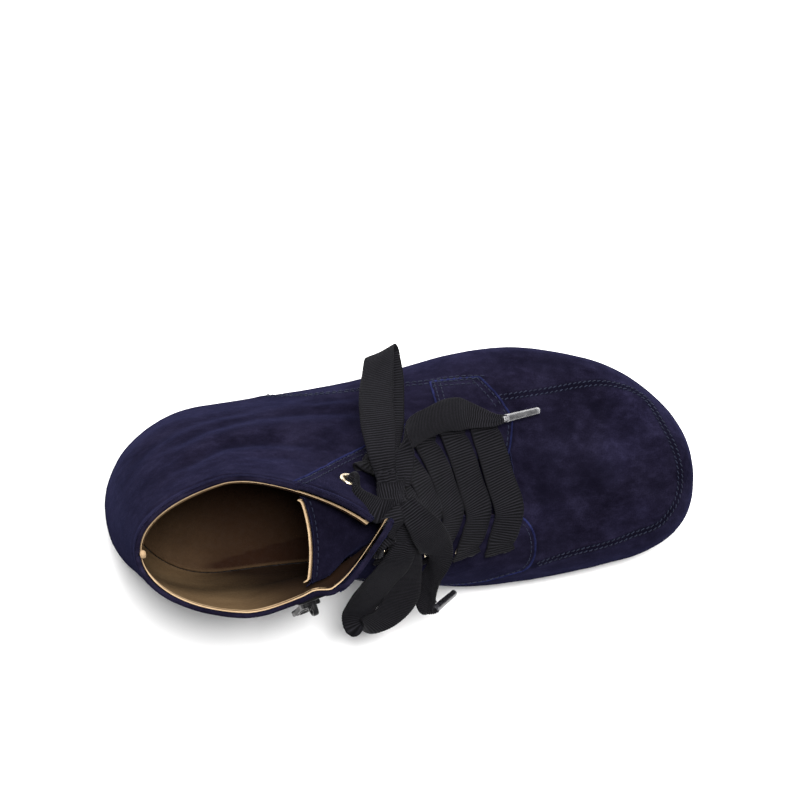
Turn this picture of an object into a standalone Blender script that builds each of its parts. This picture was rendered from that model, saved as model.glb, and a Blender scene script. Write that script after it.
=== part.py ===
"""Child's ankle boot, left foot, about EU 26: suede upper, moulded rubber outsole,
insole, tongue, twelve eyelets, grosgrain ribbon lace with its bow, inside zip.

Design frame in millimetres: x from the heel (0) to the toe tip (180), y to the
outer (lateral) side, z up from the floor.  Everything is moved at the end so that
the origin lies under the middle of the boot, and scaled to metres.
"""
import bpy
import bmesh
import numpy as np
from math import pi, radians
from mathutils import Vector, Matrix

# ---------------------------------------------------------------- driving sizes (mm)
BOOT_LENGTH = 180.0          # heel back to toe tip
SEAT_Z = 16.0                # height of the feather line under the heel
COLLAR_BACK_Z = 99.0         # height of the collar at the back seam
COLLAR_BOW = 2.4             # how far the collar rises between back and throat
WALL = 2.0                   # upper: suede and lining together
GAP = 0.3                    # between neighbouring solids
INSOLE_T = 2.7
TONGUE_T = 1.8
TUCK_Z, TUCK = 19.0, 0.05    # below this height the side turns in towards the sole
TOE_ROUND = (61.0, 42.0)     # length of the toe's rounding, lateral and medial
TOE_FULL, HEEL_FULL = 2.3, 2.05

THROAT_S = 0.405             # section where the throat starts
RIBBON_W, RIBBON_T = 10.0, 1.1
EYELET_R, EYELET_HOLE_R, EYELET_BORE_R = 3.0, 2.65, 1.85
EYELET_PAIRS = 6
BAR_BULGE = 3.0              # how far the middle of a bar bulges towards the toe
ZIP_TOP, ZIP_BOTTOM = (63.6, 106.0), (44.6, 37.0)   # x, z of the slit's middle line
ZIP_SLIT_W = 6.4
PIVOT_DOWN = -3.2            # the pull's hinge, below the top of the chain
TAB_LENGTH = 15.0

# name, station s, ridge x, ridge z, length of the roof, fullness q, fullness p
FAN = [
    ("tip",      0.00, 180.0,  20.0,  6.7, 2.40, 2.40),
    ("toe_wall", 0.05, 179.2,  24.4, 10.7, 2.40, 2.40),
    ("toe_roll", 0.10, 176.4,  28.4, 14.7, 2.40, 2.40),
    ("toe_top",  0.15, 171.2,  31.7, 18.2, 2.40, 2.40),
    ("toe_box",  0.20, 164.0,  34.2, 21.1, 2.40, 2.40),
    ("box",      0.30, 146.5,  38.6, 26.5, 2.30, 2.40),
    ("ball",     0.40, 125.0,  45.2, 33.4, 2.00, 2.30),
    ("vamp",     0.50, 109.0,  55.2, 42.0, 1.85, 2.15),
    ("instep",   0.60, 100.0,  65.6, 48.0, 1.70, 2.00),
    ("instep2",  0.70,  95.4,  73.4, 51.5, 1.60, 1.88),
    ("ankle",    0.80,  92.6,  79.2, 53.5, 1.52, 1.76),
    ("heel",     0.90,  90.9,  83.3, 54.6, 1.49, 1.67),
    ("seat",     1.00,  89.9,  86.0, 55.0, 1.48, 1.61),
    ("back1",    1.33,  88.2,  90.2, 53.0, 1.48, 1.50),
    ("back2",    1.67,  86.5,  94.4, 48.8, 1.48, 1.40),
    ("top",      2.00,  84.6,  98.8, 43.6, 1.47, 1.31),
]
# name, x, half width on the lateral side, half width on the medial side, swing of the centre line
PLAN = [
    ("heel_back",  -5, 27.3, 28.0, 0.0), ("heel",        15, 26.6, 27.8, 0.0),
    ("heel_front", 35, 27.4, 27.4, 0.0), ("waist",       60, 28.9, 27.4, 0.0),
    ("waist_front", 85, 31.8, 31.2, 0.0), ("joint",     105, 36.0, 35.8, 0.0),
    ("ball",      125, 38.0, 35.6, -0.4), ("toes",      145, 37.4, 32.6, -1.5),
    ("toe_box",   165, 35.6, 32.4, -2.6), ("tip",       185, 30.6, 34.2, -5.6),
]
# name, z, x of the back line, length of the heel's rounding, width factor, lean to the side
BACK = [
    ("feather",   10,  3.2, 30.0, 1.000,  0.0), ("counter", 24,  0.4, 30.5, 1.000,  0.0),
    ("bulge",     34,  0.0, 31.0, 0.985,  0.0), ("achilles", 50, 1.3, 32.5, 0.946, -0.2),
    ("ankle",     65,  4.5, 33.5, 0.870, -1.0), ("shaft",   80,  8.5, 35.3, 0.806, -2.5),
    ("collar",    98, 14.0, 37.8, 0.771, -4.3), ("above",  110, 17.2, 39.1, 0.752, -5.4),
]
# name, x, height of the feather line, height of the tread
SOLE = [
    ("heel_end", 0, 16.0, 0.0), ("heel", 20, 15.8, 0.0), ("breast", 45, 14.5, 0.0),
    ("arch", 70, 12.0, 6.0), ("waist", 95, 9.6, 0.0), ("ball", 120, 8.7, 0.0),
    ("toes", 145, 9.4, 0.6), ("toe_box", 165, 11.0, 2.9), ("tip", 181, 12.7, 6.2),
]
# name, x, height of the tread
TREAD = [
    ("heel_end", -1, 1.6), ("heel_bevel", 5, 0.0), ("breast", 46, 0.0), ("breast_top", 49, 5.2),
    ("arch", 58, 6.2), ("arch_front", 74, 4.2), ("waist", 88, 0.7), ("flat_back", 92, 0.0),
    ("flat_front", 136, 0.0), ("spring1", 146, 0.6), ("spring2", 158, 2.1), ("spring3", 170, 4.2),
    ("tip", 182, 6.8),
]
# name, station s, half width of the throat on the lateral and medial side, then how far the
# medial flap's edge is drawn forwards and towards the lateral side
THROAT = [
    ("toe",    0.000, 9.8, 10.4, 0.0, 0.0), ("vamp",  0.300, 9.8, 10.4, 0.0, 0.0),
    ("front",  0.405, 9.8, 10.4, 0.0, 0.0), ("low",   0.500, 8.2,  8.0, 0.0, 0.0),
    ("middle", 0.650, 7.0,  6.0, 0.3, 1.2), ("high",  1.000, 6.0,  3.2, 1.3, 3.2),
    ("upper",  1.500, 5.6,  1.9, 2.4, 4.2), ("top",   2.000, 5.2,  1.4, 3.1, 4.6),
]
FLAP_REACH = 26.0            # the medial flap is drawn in over this distance from its edge
# name, station s, depth of the tongue's middle below the ridge, half width
TONGUE = [
    ("base", 0.375, 3.7, 12.0), ("vamp", 0.45, 3.7, 15.0), ("low", 0.52, 3.7, 17.0),
    ("instep", 0.60, 4.0, 18.5), ("middle", 0.75, 6.5, 19.0), ("high", 1.0, 9.8, 18.5),
    ("upper", 1.4, 12.3, 18.0), ("near_top", 1.7, 15.6, 17.5), ("top", 1.97, 20.5, 17.0),
]
# name, x, y, z, then the direction of the ribbon's width
LOOP_LATERAL = [
    ("leaves_knot", 87.2, 11.8, 94.0,  1.0,  0.10, 0.10),
    ("rise",        86.6, 16.5, 95.0,  1.0,  0.00, 0.00),
    ("over",        86.3, 22.0, 92.5,  1.0,  0.00, 0.00),
    ("fall",        86.4, 28.8, 86.0,  1.0,  0.00, 0.00),
    ("lower",       87.0, 35.5, 77.0,  1.0,  0.15, 0.05),
    ("fold_top",    88.0, 41.5, 68.0,  1.0,  0.35, 0.20),
    ("fold",        89.3, 43.9, 61.5,  1.0,  0.40, 0.20),
    ("fold_under",  91.0, 42.4, 57.0,  1.0,  0.35, 0.25),
    ("back",        92.0, 37.2, 58.0,  1.0,  0.20, 0.30),
    ("back_up",     91.8, 30.0, 63.2,  1.0,  0.10, 0.20),
    ("back_knot",   90.0, 22.4, 67.8,  1.0,  0.00, 0.00),
    ("enters_knot", 87.6, 14.2, 78.9,  1.0,  0.00, 0.00),
]
LOOP_MEDIAL = [
    ("leaves_knot", 92.6,  -0.6, 91.2,  1.0, -0.10,  0.00),
    ("over",        91.6,  -8.0, 87.9,  1.0,  0.00,  0.00),
    ("fall",        90.3, -16.2, 79.2,  1.0,  0.00,  0.00),
    ("lower",       89.7, -24.4, 67.5,  1.0, -0.05, -0.10),
    ("turn",        87.2, -31.9, 56.5,  0.9, -0.30, -0.35),
    ("run_down",    82.5, -37.1, 49.0,  0.65, -0.50, -0.55),
    ("run_back",    76.6, -40.0, 44.8,  0.40, -0.45, -0.75),
    ("fold",        72.0, -39.6, 44.2,  0.15, -0.30, -0.90),
    ("fold_under",  70.8, -35.9, 47.5,  0.45, -0.10, -0.80),
    ("back",        73.2, -30.8, 55.5,  0.80,  0.00, -0.50),
    ("back_up",     77.4, -25.0, 66.0,  1.0,   0.00, -0.20),
    ("back_knot",   83.4, -18.6, 79.3,  1.0,   0.00,  0.00),
    ("near_knot",   88.8, -10.9, 85.8,  1.0,   0.00,  0.00),
    ("enters_knot", 92.4,  -3.8, 87.2,  1.0,   0.00,  0.00),
]
END_LATERAL = [
    ("leaves_knot",  92.0, 11.4, 89.0, 0.95, 0.30, 0.00),
    ("out",          91.9, 15.2, 86.0, 0.90, 0.42, -0.10),
    ("rise",         94.0, 19.6, 80.8, 0.55, 0.80, -0.20),
    ("over",         99.6, 22.2, 71.6, 0.42, 0.88, -0.30),
    ("down",        105.9, 23.4, 61.5, 0.30, 0.95, -0.25),
    ("crest",       111.5, 22.0, 54.2, 0.15, 1.00, -0.15),
    ("lie",         116.8, 20.2, 51.4, 0.00, 1.00, -0.20),
    ("turn",        120.7, 19.2, 49.6, -0.05, 1.00, -0.30),
    ("aglet",       123.5, 19.3, 48.2, -0.10, 1.00, -0.30),
]
END_MEDIAL = [
    ("leaves_knot",  93.4,  3.2, 95.6, 0.70,  0.70, 0.10),
    ("diagonal",     95.6, -1.4, 95.0, 0.70,  0.70, 0.10),
    ("across",       98.6, -7.6, 89.6, 0.75,  0.60, 0.10),
    ("fold",        100.2, -13.8, 79.2, 0.80, 0.45, -0.20),
    ("down",         99.0, -20.8, 67.6, 0.60, 0.20, 0.70),
    ("lower",        97.2, -27.8, 56.2, 0.50, 0.20, 0.80),
    ("curl",         94.8, -34.0, 46.9, 0.80, 0.10, 0.50),
    ("curl_out",     95.6, -37.4, 42.8, 0.90, 0.10, 0.20),
    ("aglet",        98.4, -37.2, 40.6, 0.55, 0.30, 0.80),
]
KNOT = dict(at=(87.9, 6.0, 92.0), size=(8.5, 10.0, 7.0))
AGLET_R, AGLET_LEN = 1.25, 11.0


# ---------------------------------------------------------------- curves through a table
def curve(table, key, value):
    """natural cubic through two columns of a table"""
    xs = np.array([row[key] for row in table], float)
    ys = np.array([row[value] for row in table], float)
    n = len(xs)
    h = np.diff(xs)
    a, r = np.zeros((n, n)), np.zeros(n)
    a[0, 0] = a[-1, -1] = 1
    for i in range(1, n - 1):
        a[i, i - 1], a[i, i], a[i, i + 1] = h[i - 1], 2 * (h[i - 1] + h[i]), h[i]
        r[i] = 6 * ((ys[i + 1] - ys[i]) / h[i] - (ys[i] - ys[i - 1]) / h[i - 1])
    m = np.linalg.solve(a, r)

    def f(x):
        x = np.clip(np.asarray(x, float), xs[0], xs[-1])
        k = np.clip(np.searchsorted(xs, x) - 1, 0, n - 2)
        d, e, hh = x - xs[k], xs[k + 1] - x, h[k]
        return ((m[k] * e ** 3 + m[k + 1] * d ** 3) / (6 * hh)
                + (ys[k] / hh - m[k] * hh / 6) * e + (ys[k + 1] / hh - m[k + 1] * hh / 6) * d)
    return f


def straight(table, key, value):
    xs = [row[key] for row in table]
    ys = [row[value] for row in table]
    return lambda x: np.interp(x, xs, ys)


ridge_x, ridge_z, roof_length, full_q, full_p = [curve(FAN, 1, k) for k in (2, 3, 4, 5, 6)]
half_width = [curve(PLAN, 1, 2), curve(PLAN, 1, 3)]          # lateral, medial
swing = curve(PLAN, 1, 4)
back_x, back_round, narrow, lean = [curve(BACK, 1, k) for k in (2, 3, 4, 5)]
feather_z = curve(SOLE, 1, 2)
tread_z = straight(TREAD, 1, 2)
throat_half = [curve(THROAT, 1, 2), curve(THROAT, 1, 3)]
flap_forward, flap_in = curve(THROAT, 1, 4), curve(THROAT, 1, 5)
SEAT_X = float(back_x(SEAT_Z))


# ---------------------------------------------------------------- the last's surface
def low_line(s):
    """feather line from the toe (s=0) to the heel (s=1), then up the back seam (s=2)"""
    s = np.asarray(s, float)
    f, b = np.clip(s, 0, 1), np.clip(s - 1, 0, 1)
    x = (BOOT_LENGTH + SEAT_X) / 2 + (BOOT_LENGTH - SEAT_X) / 2 * np.cos(pi * f)
    z = feather_z(x) + (SEAT_Z - float(feather_z(SEAT_X))) * np.clip((s - 0.9) / 0.1, 0, 1)
    z = np.where(s <= 1, z, SEAT_Z + (COLLAR_BACK_Z - SEAT_Z) * b)
    return np.where(s > 1, back_x(z), x), z


def station(x):
    """s of the section whose low end is at x on the feather line"""
    c = (np.asarray(x, float) - (BOOT_LENGTH + SEAT_X) / 2) / ((BOOT_LENGTH - SEAT_X) / 2)
    return np.arccos(np.clip(c, -1, 1)) / pi


def section(s, side, m=161):
    """points of each section from its low end to the ridge; side 0 lateral, 1 medial"""
    s = np.atleast_1d(np.asarray(s, float))
    x0, z0 = [a[:, None] for a in low_line(s)]
    drawn = np.where(s > THROAT_S, side, 0)
    x1, z1 = (ridge_x(s) + drawn * flap_forward(s))[:, None], ridge_z(s)[:, None]
    t = 1 - (1 - np.linspace(0, 1, m)[None]) ** 2.2
    x, z = x0 + (x1 - x0) * t, z0 + (z1 - z0) * t
    ln = np.hypot(x1 - x0, z1 - z0)
    bow = COLLAR_BOW * np.clip(s - 1, 0, 1)[:, None] ** 2 * 4 * t * (1 - t)
    x, z = x - bow * (z1 - z0) / ln, z + bow * (x1 - x0) / ln
    rl, q, p = [f(s)[:, None] for f in (roof_length, full_q, full_p)]
    roof = np.maximum(1 - np.clip(1 - (1 - t) * ln / rl, 0, 1) ** q, 0) ** (1 / p)
    heel = np.maximum(1 - (1 - np.clip((x - back_x(z)) / back_round(z), 0, 1)) ** HEEL_FULL, 0) ** (1 / HEEL_FULL)
    toe = np.maximum(1 - (1 - np.clip((BOOT_LENGTH - x) / TOE_ROUND[side], 0, 1)) ** TOE_FULL, 0) ** (1 / TOE_FULL)
    tuck = 1 - TUCK * np.clip((TUCK_Z - z) / 10, 0, 1) ** 2
    w = half_width[side](x) * narrow(z) * tuck * roof * heel * toe
    inwards = (drawn * flap_in(s))[:, None] * np.clip(1 - (1 - t) * ln / FLAP_REACH, 0, 1) ** 1.2
    return np.stack([x, (w if side == 0 else -w) + lean(z) + swing(x) + inwards, z], -1)


def by_length(sections, fractions):
    """points at fractions of each section's length, and the lengths"""
    d = np.linalg.norm(np.diff(sections, axis=1), axis=2)
    c = np.concatenate([np.zeros((len(d), 1)), np.cumsum(d, 1)], 1)
    out = np.zeros((len(d), fractions.shape[1], 3))
    for i in range(len(d)):
        for k in range(3):
            out[i, :, k] = np.interp(fractions[i] * c[i, -1], c[i], sections[i, :, k])
    return out, c[:, -1]


_dense_s = np.concatenate([np.linspace(0, 1, 400), np.linspace(1, 2, 200)[1:]])
_dense = [section(_dense_s, side) for side in (0, 1)]


def wall_y(side, x, z):
    """y of the upper's outside at x, z on one side"""
    d = (_dense[side][..., 0] - x) ** 2 + (_dense[side][..., 2] - z) ** 2
    near = np.argsort(d, axis=None)[:6]
    wgt = 1 / (d.ravel()[near] + 1e-3)
    return float((wgt * _dense[side][..., 1].ravel()[near]).sum() / wgt.sum())


def wall_frame(side, x, z, step=2.5):
    """point on the wall and its outward normal"""
    p = Vector((x, wall_y(side, x, z), z))
    dx = Vector((2 * step, wall_y(side, x + step, z) - wall_y(side, x - step, z), 0))
    dz = Vector((0, wall_y(side, x, z + step) - wall_y(side, x, z - step), 2 * step))
    n = dz.cross(dx).normalized()
    return p, n if (n.y > 0) == (side == 0) else -n


def on_roof(s, side, from_ridge):
    """point at a distance from the ridge along a section, with its outward normal"""
    def at(ss, a):
        sec = section(np.array([ss]), side)
        _, length = by_length(sec, np.zeros((1, 1)))
        return Vector(by_length(sec, np.array([[1 - a / length[0]]]))[0][0, 0])
    p = at(s, from_ridge)
    ds = at(s + 0.02, from_ridge) - at(s - 0.02, from_ridge)
    da = at(s, from_ridge + 1.0) - at(s, from_ridge - 1.0)
    n = ds.cross(da).normalized()
    centre = Vector((p.x - 25, 0, 30))
    return p, n if n.dot(p - centre) > 0 else -n


# ---------------------------------------------------------------- mesh helpers
parts_collection = None
cutter_collection = None
frame_empty = None


def material(name, colour, roughness, metallic=0.0):
    m = bpy.data.materials.new(name)
    m.use_nodes = True
    b = m.node_tree.nodes["Principled BSDF"]
    b.inputs["Base Color"].default_value = (*colour, 1)
    b.inputs["Roughness"].default_value = roughness
    b.inputs["Metallic"].default_value = metallic
    return m


def finish_object(ob, mat, cutter=False, smooth=True):
    (cutter_collection if cutter else parts_collection).objects.link(ob)
    if mat is not None:
        ob.data.materials.clear()
        ob.data.materials.append(mat)
    if cutter:
        ob.hide_render = True
        ob.display_type = "WIRE"
    elif smooth:
        ob.data.shade_smooth()
    ob.parent = frame_empty
    return ob


def from_rows(name, rows, mat, skip=None, origin=None, cutter=False, ring=False, caps=False):
    """a loft: rows of equal length joined by quads; skip(i, j) leaves a face out"""
    origin = np.zeros(3) if origin is None else np.array(origin, float)
    bm = bmesh.new()
    verts = [[bm.verts.new(Vector((np.array(p, float) - origin) / 1000.0)) for p in row] for row in rows]
    cols = len(rows[0])
    for i in range(len(rows) - 1):
        for j in range(cols if ring else cols - 1):
            if skip is None or not skip(i, j):
                k = (j + 1) % cols
                bm.faces.new((verts[i][j], verts[i][k], verts[i + 1][k], verts[i + 1][j]))
    if caps:
        bm.faces.new(verts[0][::-1])
        bm.faces.new(verts[-1])
    bmesh.ops.remove_doubles(bm, verts=bm.verts, dist=2e-6)
    bmesh.ops.dissolve_degenerate(bm, dist=2e-6, edges=bm.edges)
    bmesh.ops.delete(bm, geom=[v for v in bm.verts if not v.link_faces], context="VERTS")
    bmesh.ops.recalc_face_normals(bm, faces=bm.faces)
    mesh = bpy.data.meshes.new(name)
    bm.to_mesh(mesh)
    bm.free()
    ob = bpy.data.objects.new(name, mesh)
    ob.location = Vector(origin / 1000.0)
    return finish_object(ob, mat, cutter)


def face_outwards(ob, centre):
    """turn an open sheet so that its faces look away from a point (mm)"""
    c = Vector(centre) / 1000.0
    total = sum((f.center - c).dot(f.normal) * f.area for f in ob.data.polygons)
    if total < 0:
        ob.data.flip_normals()


def shell(ob, thickness, offset):
    m = ob.modifiers.new("wall", "SOLIDIFY")
    m.thickness = thickness / 1000.0
    m.offset = offset
    m.use_even_offset = False
    m.use_rim = True
    return m


def boolean(ob, other, operation="DIFFERENCE"):
    m = ob.modifiers.new(operation.lower(), "BOOLEAN")
    m.operation = operation
    m.solver = "EXACT"
    m.object = other
    return m


def box(name, size, matrix, mat=None, cutter=False, bevel=0.0):
    """a box from a cube primitive; size in mm, matrix placed in mm"""
    bm = bmesh.new()
    bmesh.ops.create_cube(bm, size=1.0)
    bmesh.ops.scale(bm, vec=Vector(size) / 1000.0, verts=bm.verts)
    mesh = bpy.data.meshes.new(name)
    bm.to_mesh(mesh)
    bm.free()
    ob = bpy.data.objects.new(name, mesh)
    m = matrix.copy()
    m.translation = m.translation / 1000.0
    ob.matrix_world = m
    finish_object(ob, mat, cutter, smooth=False)
    if bevel:
        b = ob.modifiers.new("edges", "BEVEL")
        b.width = bevel / 1000.0
        b.segments = 2
        b.limit_method = "ANGLE"
    return ob


def frame_matrix(x_axis, y_axis, z_axis, at):
    m = Matrix((x_axis, y_axis, z_axis)).transposed().to_4x4()
    m.translation = at
    return m


def ribbon(name, table, mat, width=RIBBON_W, thick=RIBBON_T, taper=None, gather=(0.5, 0.5), steps=4):
    """flat ribbon through the folds of a table; its width follows the table's direction"""
    pts = np.array([row[1:4] for row in table], float)
    wid = np.array([row[4:7] for row in table], float)
    keys = np.concatenate([[0], np.cumsum(np.linalg.norm(np.diff(pts, axis=0), axis=1))])
    fine = np.unique(np.concatenate([np.linspace(a, b, steps + 1) for a, b in zip(keys[:-1], keys[1:])]))
    cols = [curve([(k, v) for k, v in zip(keys, pts[:, c])], 0, 1)(fine) for c in range(3)]
    wcol = [curve([(k, v) for k, v in zip(keys, wid[:, c])], 0, 1)(fine) for c in range(3)]
    p, w = np.stack(cols, -1), np.stack(wcol, -1)
    tan = np.gradient(p, axis=0)
    tan /= np.linalg.norm(tan, axis=1)[:, None]
    w -= (w * tan).sum(1)[:, None] * tan
    w /= np.linalg.norm(w, axis=1)[:, None]
    half = np.interp(fine / fine[-1], [0, 0.16, 0.84, 1], [width / 2.0 * g for g in (gather[0], 1, 1, gather[1])])
    if taper:
        half = half * np.interp(fine / fine[-1], [0, taper[0], 1], [1, 1, taper[1]])
    nrm = np.cross(tan, w)
    h = thick / 2.0
    rows = []
    for i in range(len(fine)):
        a, b, c = p[i], w[i] * half[i], nrm[i] * h
        rows.append([a - b - c, a + b - c, a + b + c, a - b + c])
    return from_rows(name, rows, mat, ring=True, caps=True), p


# ---------------------------------------------------------------- pieces
def make_upper(mat, eyelets):
    cols, roof_cols = 11, 2
    s_rows = np.unique(np.concatenate([
        [0, 0.012, 0.03, 0.055, 0.085, 0.12, 0.16, 0.205, 0.25, 0.295, 0.335, 0.372, THROAT_S],
        np.linspace(THROAT_S, 0.9, 13), [0.93, 0.955, 0.978, 1.0], np.linspace(1.0, 2.0, 10)]))
    rows = []
    for side in (1, 0):
        sec = section(s_rows, side)
        _, length = by_length(sec, np.zeros((len(s_rows), 1)))
        g = np.minimum(throat_half[side](s_rows), 0.3 * length)
        edge = 1 - g / length
        fr = np.concatenate([edge[:, None] * np.linspace(0, 1, cols + 1)[None],
                             edge[:, None] + (1 - edge[:, None]) * np.linspace(0, 1, roof_cols + 1)[None, 1:]], 1)
        rows.append(by_length(sec, fr)[0])
    full = np.concatenate([rows[0], rows[1][:, -2::-1]], 1)
    n = full.shape[1]
    first = int(np.argmin(abs(s_rows - THROAT_S)))

    def in_throat(i, j):
        return i >= first and cols <= j < n - 1 - cols
    ob = from_rows("upper", full, mat, skip=in_throat)
    face_outwards(ob, (90, 0, 40))
    shell(ob, WALL, -1)
    # eyelet holes
    bm = bmesh.new()
    for p, n_ in eyelets:
        m = n_.to_track_quat("Z", "Y").to_matrix().to_4x4()
        m.translation = p / 1000.0
        bmesh.ops.create_cone(bm, cap_ends=True, segments=14, radius1=EYELET_HOLE_R / 1000, radius2=EYELET_HOLE_R / 1000,
                              depth=0.009, matrix=m)
    mesh = bpy.data.meshes.new("eyelet_drill")
    bm.to_mesh(mesh)
    bm.free()
    drill = finish_object(bpy.data.objects.new("eyelet_drill", mesh), None, cutter=True)
    boolean(ob, drill)
    # zip slit
    zp = zip_frame()
    mid = (zp["top"] + zp["bottom"]) / 2
    length = (zp["top"] - zp["bottom"]).length
    slit = box("zip_slit", (ZIP_SLIT_W, length, 26.0), frame_matrix(zp["across"], zp["up"], zp["out"], mid), cutter=True)
    boolean(ob, slit)
    return ob, full


def outline(s, side, z_shift=0.0):
    """plan outline of the upper at its feather edge"""
    sec = section(s, side, m=161)
    return sec[:, 0]


def offset_outline(s, d):
    """both sides of the feather outline, moved outwards by d (mm) in plan"""
    lat, med = outline(s, 0), outline(s, 1)
    loop = np.concatenate([lat[:, :2], med[::-1][1:-1, :2]])
    nxt, prv = np.roll(loop, -1, 0), np.roll(loop, 1, 0)
    tan = (nxt - loop) / (np.linalg.norm(nxt - loop, axis=1)[:, None] + 1e-9) + \
          (loop - prv) / (np.linalg.norm(loop - prv, axis=1)[:, None] + 1e-9)
    tan /= np.linalg.norm(tan, axis=1)[:, None] + 1e-9
    nrm = np.stack([tan[:, 1], -tan[:, 0]], 1)
    if (nrm[len(s) // 2] * np.array([0, 1])).sum() < 0:
        nrm = -nrm
    out = loop + nrm * d
    lat_o = out[:len(s)]
    med_o = np.concatenate([out[:1], out[len(s):][::-1], out[len(s) - 1:len(s)]])
    return lat_o, med_o


def make_outsole(mat):
    xs = np.array([row[1] for row in TREAD if 1 < row[1] < 179] + [98, 104, 110, 116, 122, 128, 12, 20, 29, 38, 53, 65, 81, 164, 175])
    s = np.unique(np.concatenate([station(xs), [0, 0.012, 0.03, 0.055, 0.085, 0.93, 0.955, 0.975, 0.99, 1.0]]))
    layers = [("top", -0.2, lambda x: feather_z(x) - 1.5 * GAP - 1.1 * np.clip((7 - x) / 5, 0, 1)),
              ("shoulder", 0.3, lambda x: feather_z(x) - 1.5 * GAP - 1.0 - 1.1 * np.clip((7 - x) / 5, 0, 1)),
              ("side", 0.5, lambda x: 0.55 * feather_z(x) + 0.45 * tread_z(x)),
              ("edge", -0.3, lambda x: tread_z(x) + 1.2),
              ("tread", -1.5, lambda x: tread_z(x))]
    lat, med = [], []
    for _, d, height in layers:
        a, b = offset_outline(s, d)
        lat.append(np.column_stack([a, height(np.clip(a[:, 0], 0, 181))]))
        med.append(np.column_stack([b, height(np.clip(b[:, 0], 0, 181))]))
    rows = [[layer[i] for layer in lat] + [layer[i] for layer in med[::-1]] for i in range(len(s))]
    ob = from_rows("outsole", rows, mat, ring=True)
    # grooves between the lugs
    bm = bmesh.new()
    for x, half, deep in [(x, 27.0, 1.6) for x in (98, 105, 112, 119, 126, 133)] + [(x, 18.0, 1.8) for x in (16, 25, 34)]:
        bmesh.ops.create_cube(bm, size=1.0, matrix=Matrix.Translation(Vector((x, 0, 0)) / 1000)
                              @ Matrix.Diagonal(Vector((2.2, 2 * half, 2 * deep, 1000)) / 1000))
    mesh = bpy.data.meshes.new("tread_grooves")
    bm.to_mesh(mesh)
    bm.free()
    boolean(ob, finish_object(bpy.data.objects.new("tread_grooves", mesh), None, cutter=True))
    return ob, np.array(rows)


def make_insole(mat):
    s = np.unique(np.concatenate([station(np.arange(14, 176, 9.0)), [0, 0.02, 0.045, 0.08, 0.94, 0.965, 0.985, 1.0]]))
    layers = [(-3.55, 0.0), (-3.05, 0.6), (-3.05, INSOLE_T - 0.5), (-3.45, INSOLE_T)]
    lat, med = [], []
    for d, up in layers:
        a, b = offset_outline(s, d)
        lat.append(np.column_stack([a, feather_z(a[:, 0]) + up]))
        med.append(np.column_stack([b, feather_z(b[:, 0]) + up]))
    rows = [[layer[i] for layer in lat] + [layer[i] for layer in med[::-1]] for i in range(len(s))]
    return from_rows("insole", rows, mat, ring=True)


def make_tongue(mat):
    """a wide gusseted tongue: straight on from the vamp, its sides lying along the inside of the walls"""
    depth, wide = curve(TONGUE, 1, 2), curve(TONGUE, 1, 3)
    s = np.concatenate([np.linspace(0.375, 0.75, 8), np.linspace(0.82, 1.0, 3), np.linspace(1.2, 1.97, 5)])
    clear = WALL + 2 * GAP + TONGUE_T / 2 + 0.1
    rows = []
    for si in s:
        top = np.array([float(ridge_x(si)), 0.0, float(ridge_z(si))])
        x0, z0 = [float(a) for a in low_line(si)]
        d = np.array([x0 - top[0], 0, z0 - top[2]])
        d /= np.linalg.norm(d)
        cy = float(lean(top[2])) + float(swing(top[0]))
        e = float(depth(si))
        halves = []
        for side, sign in ((1, -1), (0, 1)):
            sec = section(np.array([si]), side)[0][::-1]
            y, dep = sign * (sec[:, 1] - cy), (sec - top) @ d
            tan = np.gradient(np.stack([y, dep], 1), axis=0)
            tan /= np.linalg.norm(tan, axis=1)[:, None] + 1e-9
            yo, do = y - tan[:, 1] * clear, dep + tan[:, 0] * clear
            last = int(np.argmax(yo))
            keep = np.maximum.accumulate(yo[:last + 1])
            half = min(float(wide(si)), 0.925 * keep[-1])
            yy = np.linspace(0, half, 6)
            wall = np.interp(yy, keep, do[:last + 1])
            flat = e + 0.010 * yy ** 2
            depth_y = 0.5 * (wall + flat + np.sqrt((wall - flat) ** 2 + 1.5))
            halves.append([top + np.array([0, cy + sign * v, 0]) + d * q for v, q in zip(yy, depth_y)])
        # both halves start at the middle, where the deeper of the two is taken
        mid = max((h[0] - top) @ d for h in halves)
        centre = top + np.array([0, cy, 0]) + d * mid
        rows.append(halves[0][:0:-1] + [centre] + halves[1][1:])
    ob = from_rows("tongue", rows, mat)
    face_outwards(ob, (40, 0, 20))
    shell(ob, TONGUE_T, 0)
    return ob, rows


eyelet_station = {}


def eyelet_places():
    """pairs at an even pitch along each side of the throat"""
    out = {}
    for side, near, far, first, last in ((0, 17.4, 19.2, 0.447, 1.32), (1, 20.0, 17.0, 0.434, 1.26)):
        ss = np.concatenate([np.linspace(first, 1.0, 60), np.linspace(1.0, last, 16)[1:]])
        line = [on_roof(float(v), side, near + (far - near) * i / (len(ss) - 1))[0] for i, v in enumerate(ss)]
        run = np.concatenate([[0], np.cumsum([(b - a).length for a, b in zip(line[:-1], line[1:])])])
        for k in range(EYELET_PAIRS):
            v = float(np.interp(run[-1] * k / (EYELET_PAIRS - 1), run, ss))
            a = near + (far - near) * float(np.interp(v, ss, np.linspace(0, 1, len(ss))))
            eyelet_station[(side, k)] = (v, a)
            out[(side, k)] = on_roof(v, side, a)
    return out


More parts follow.
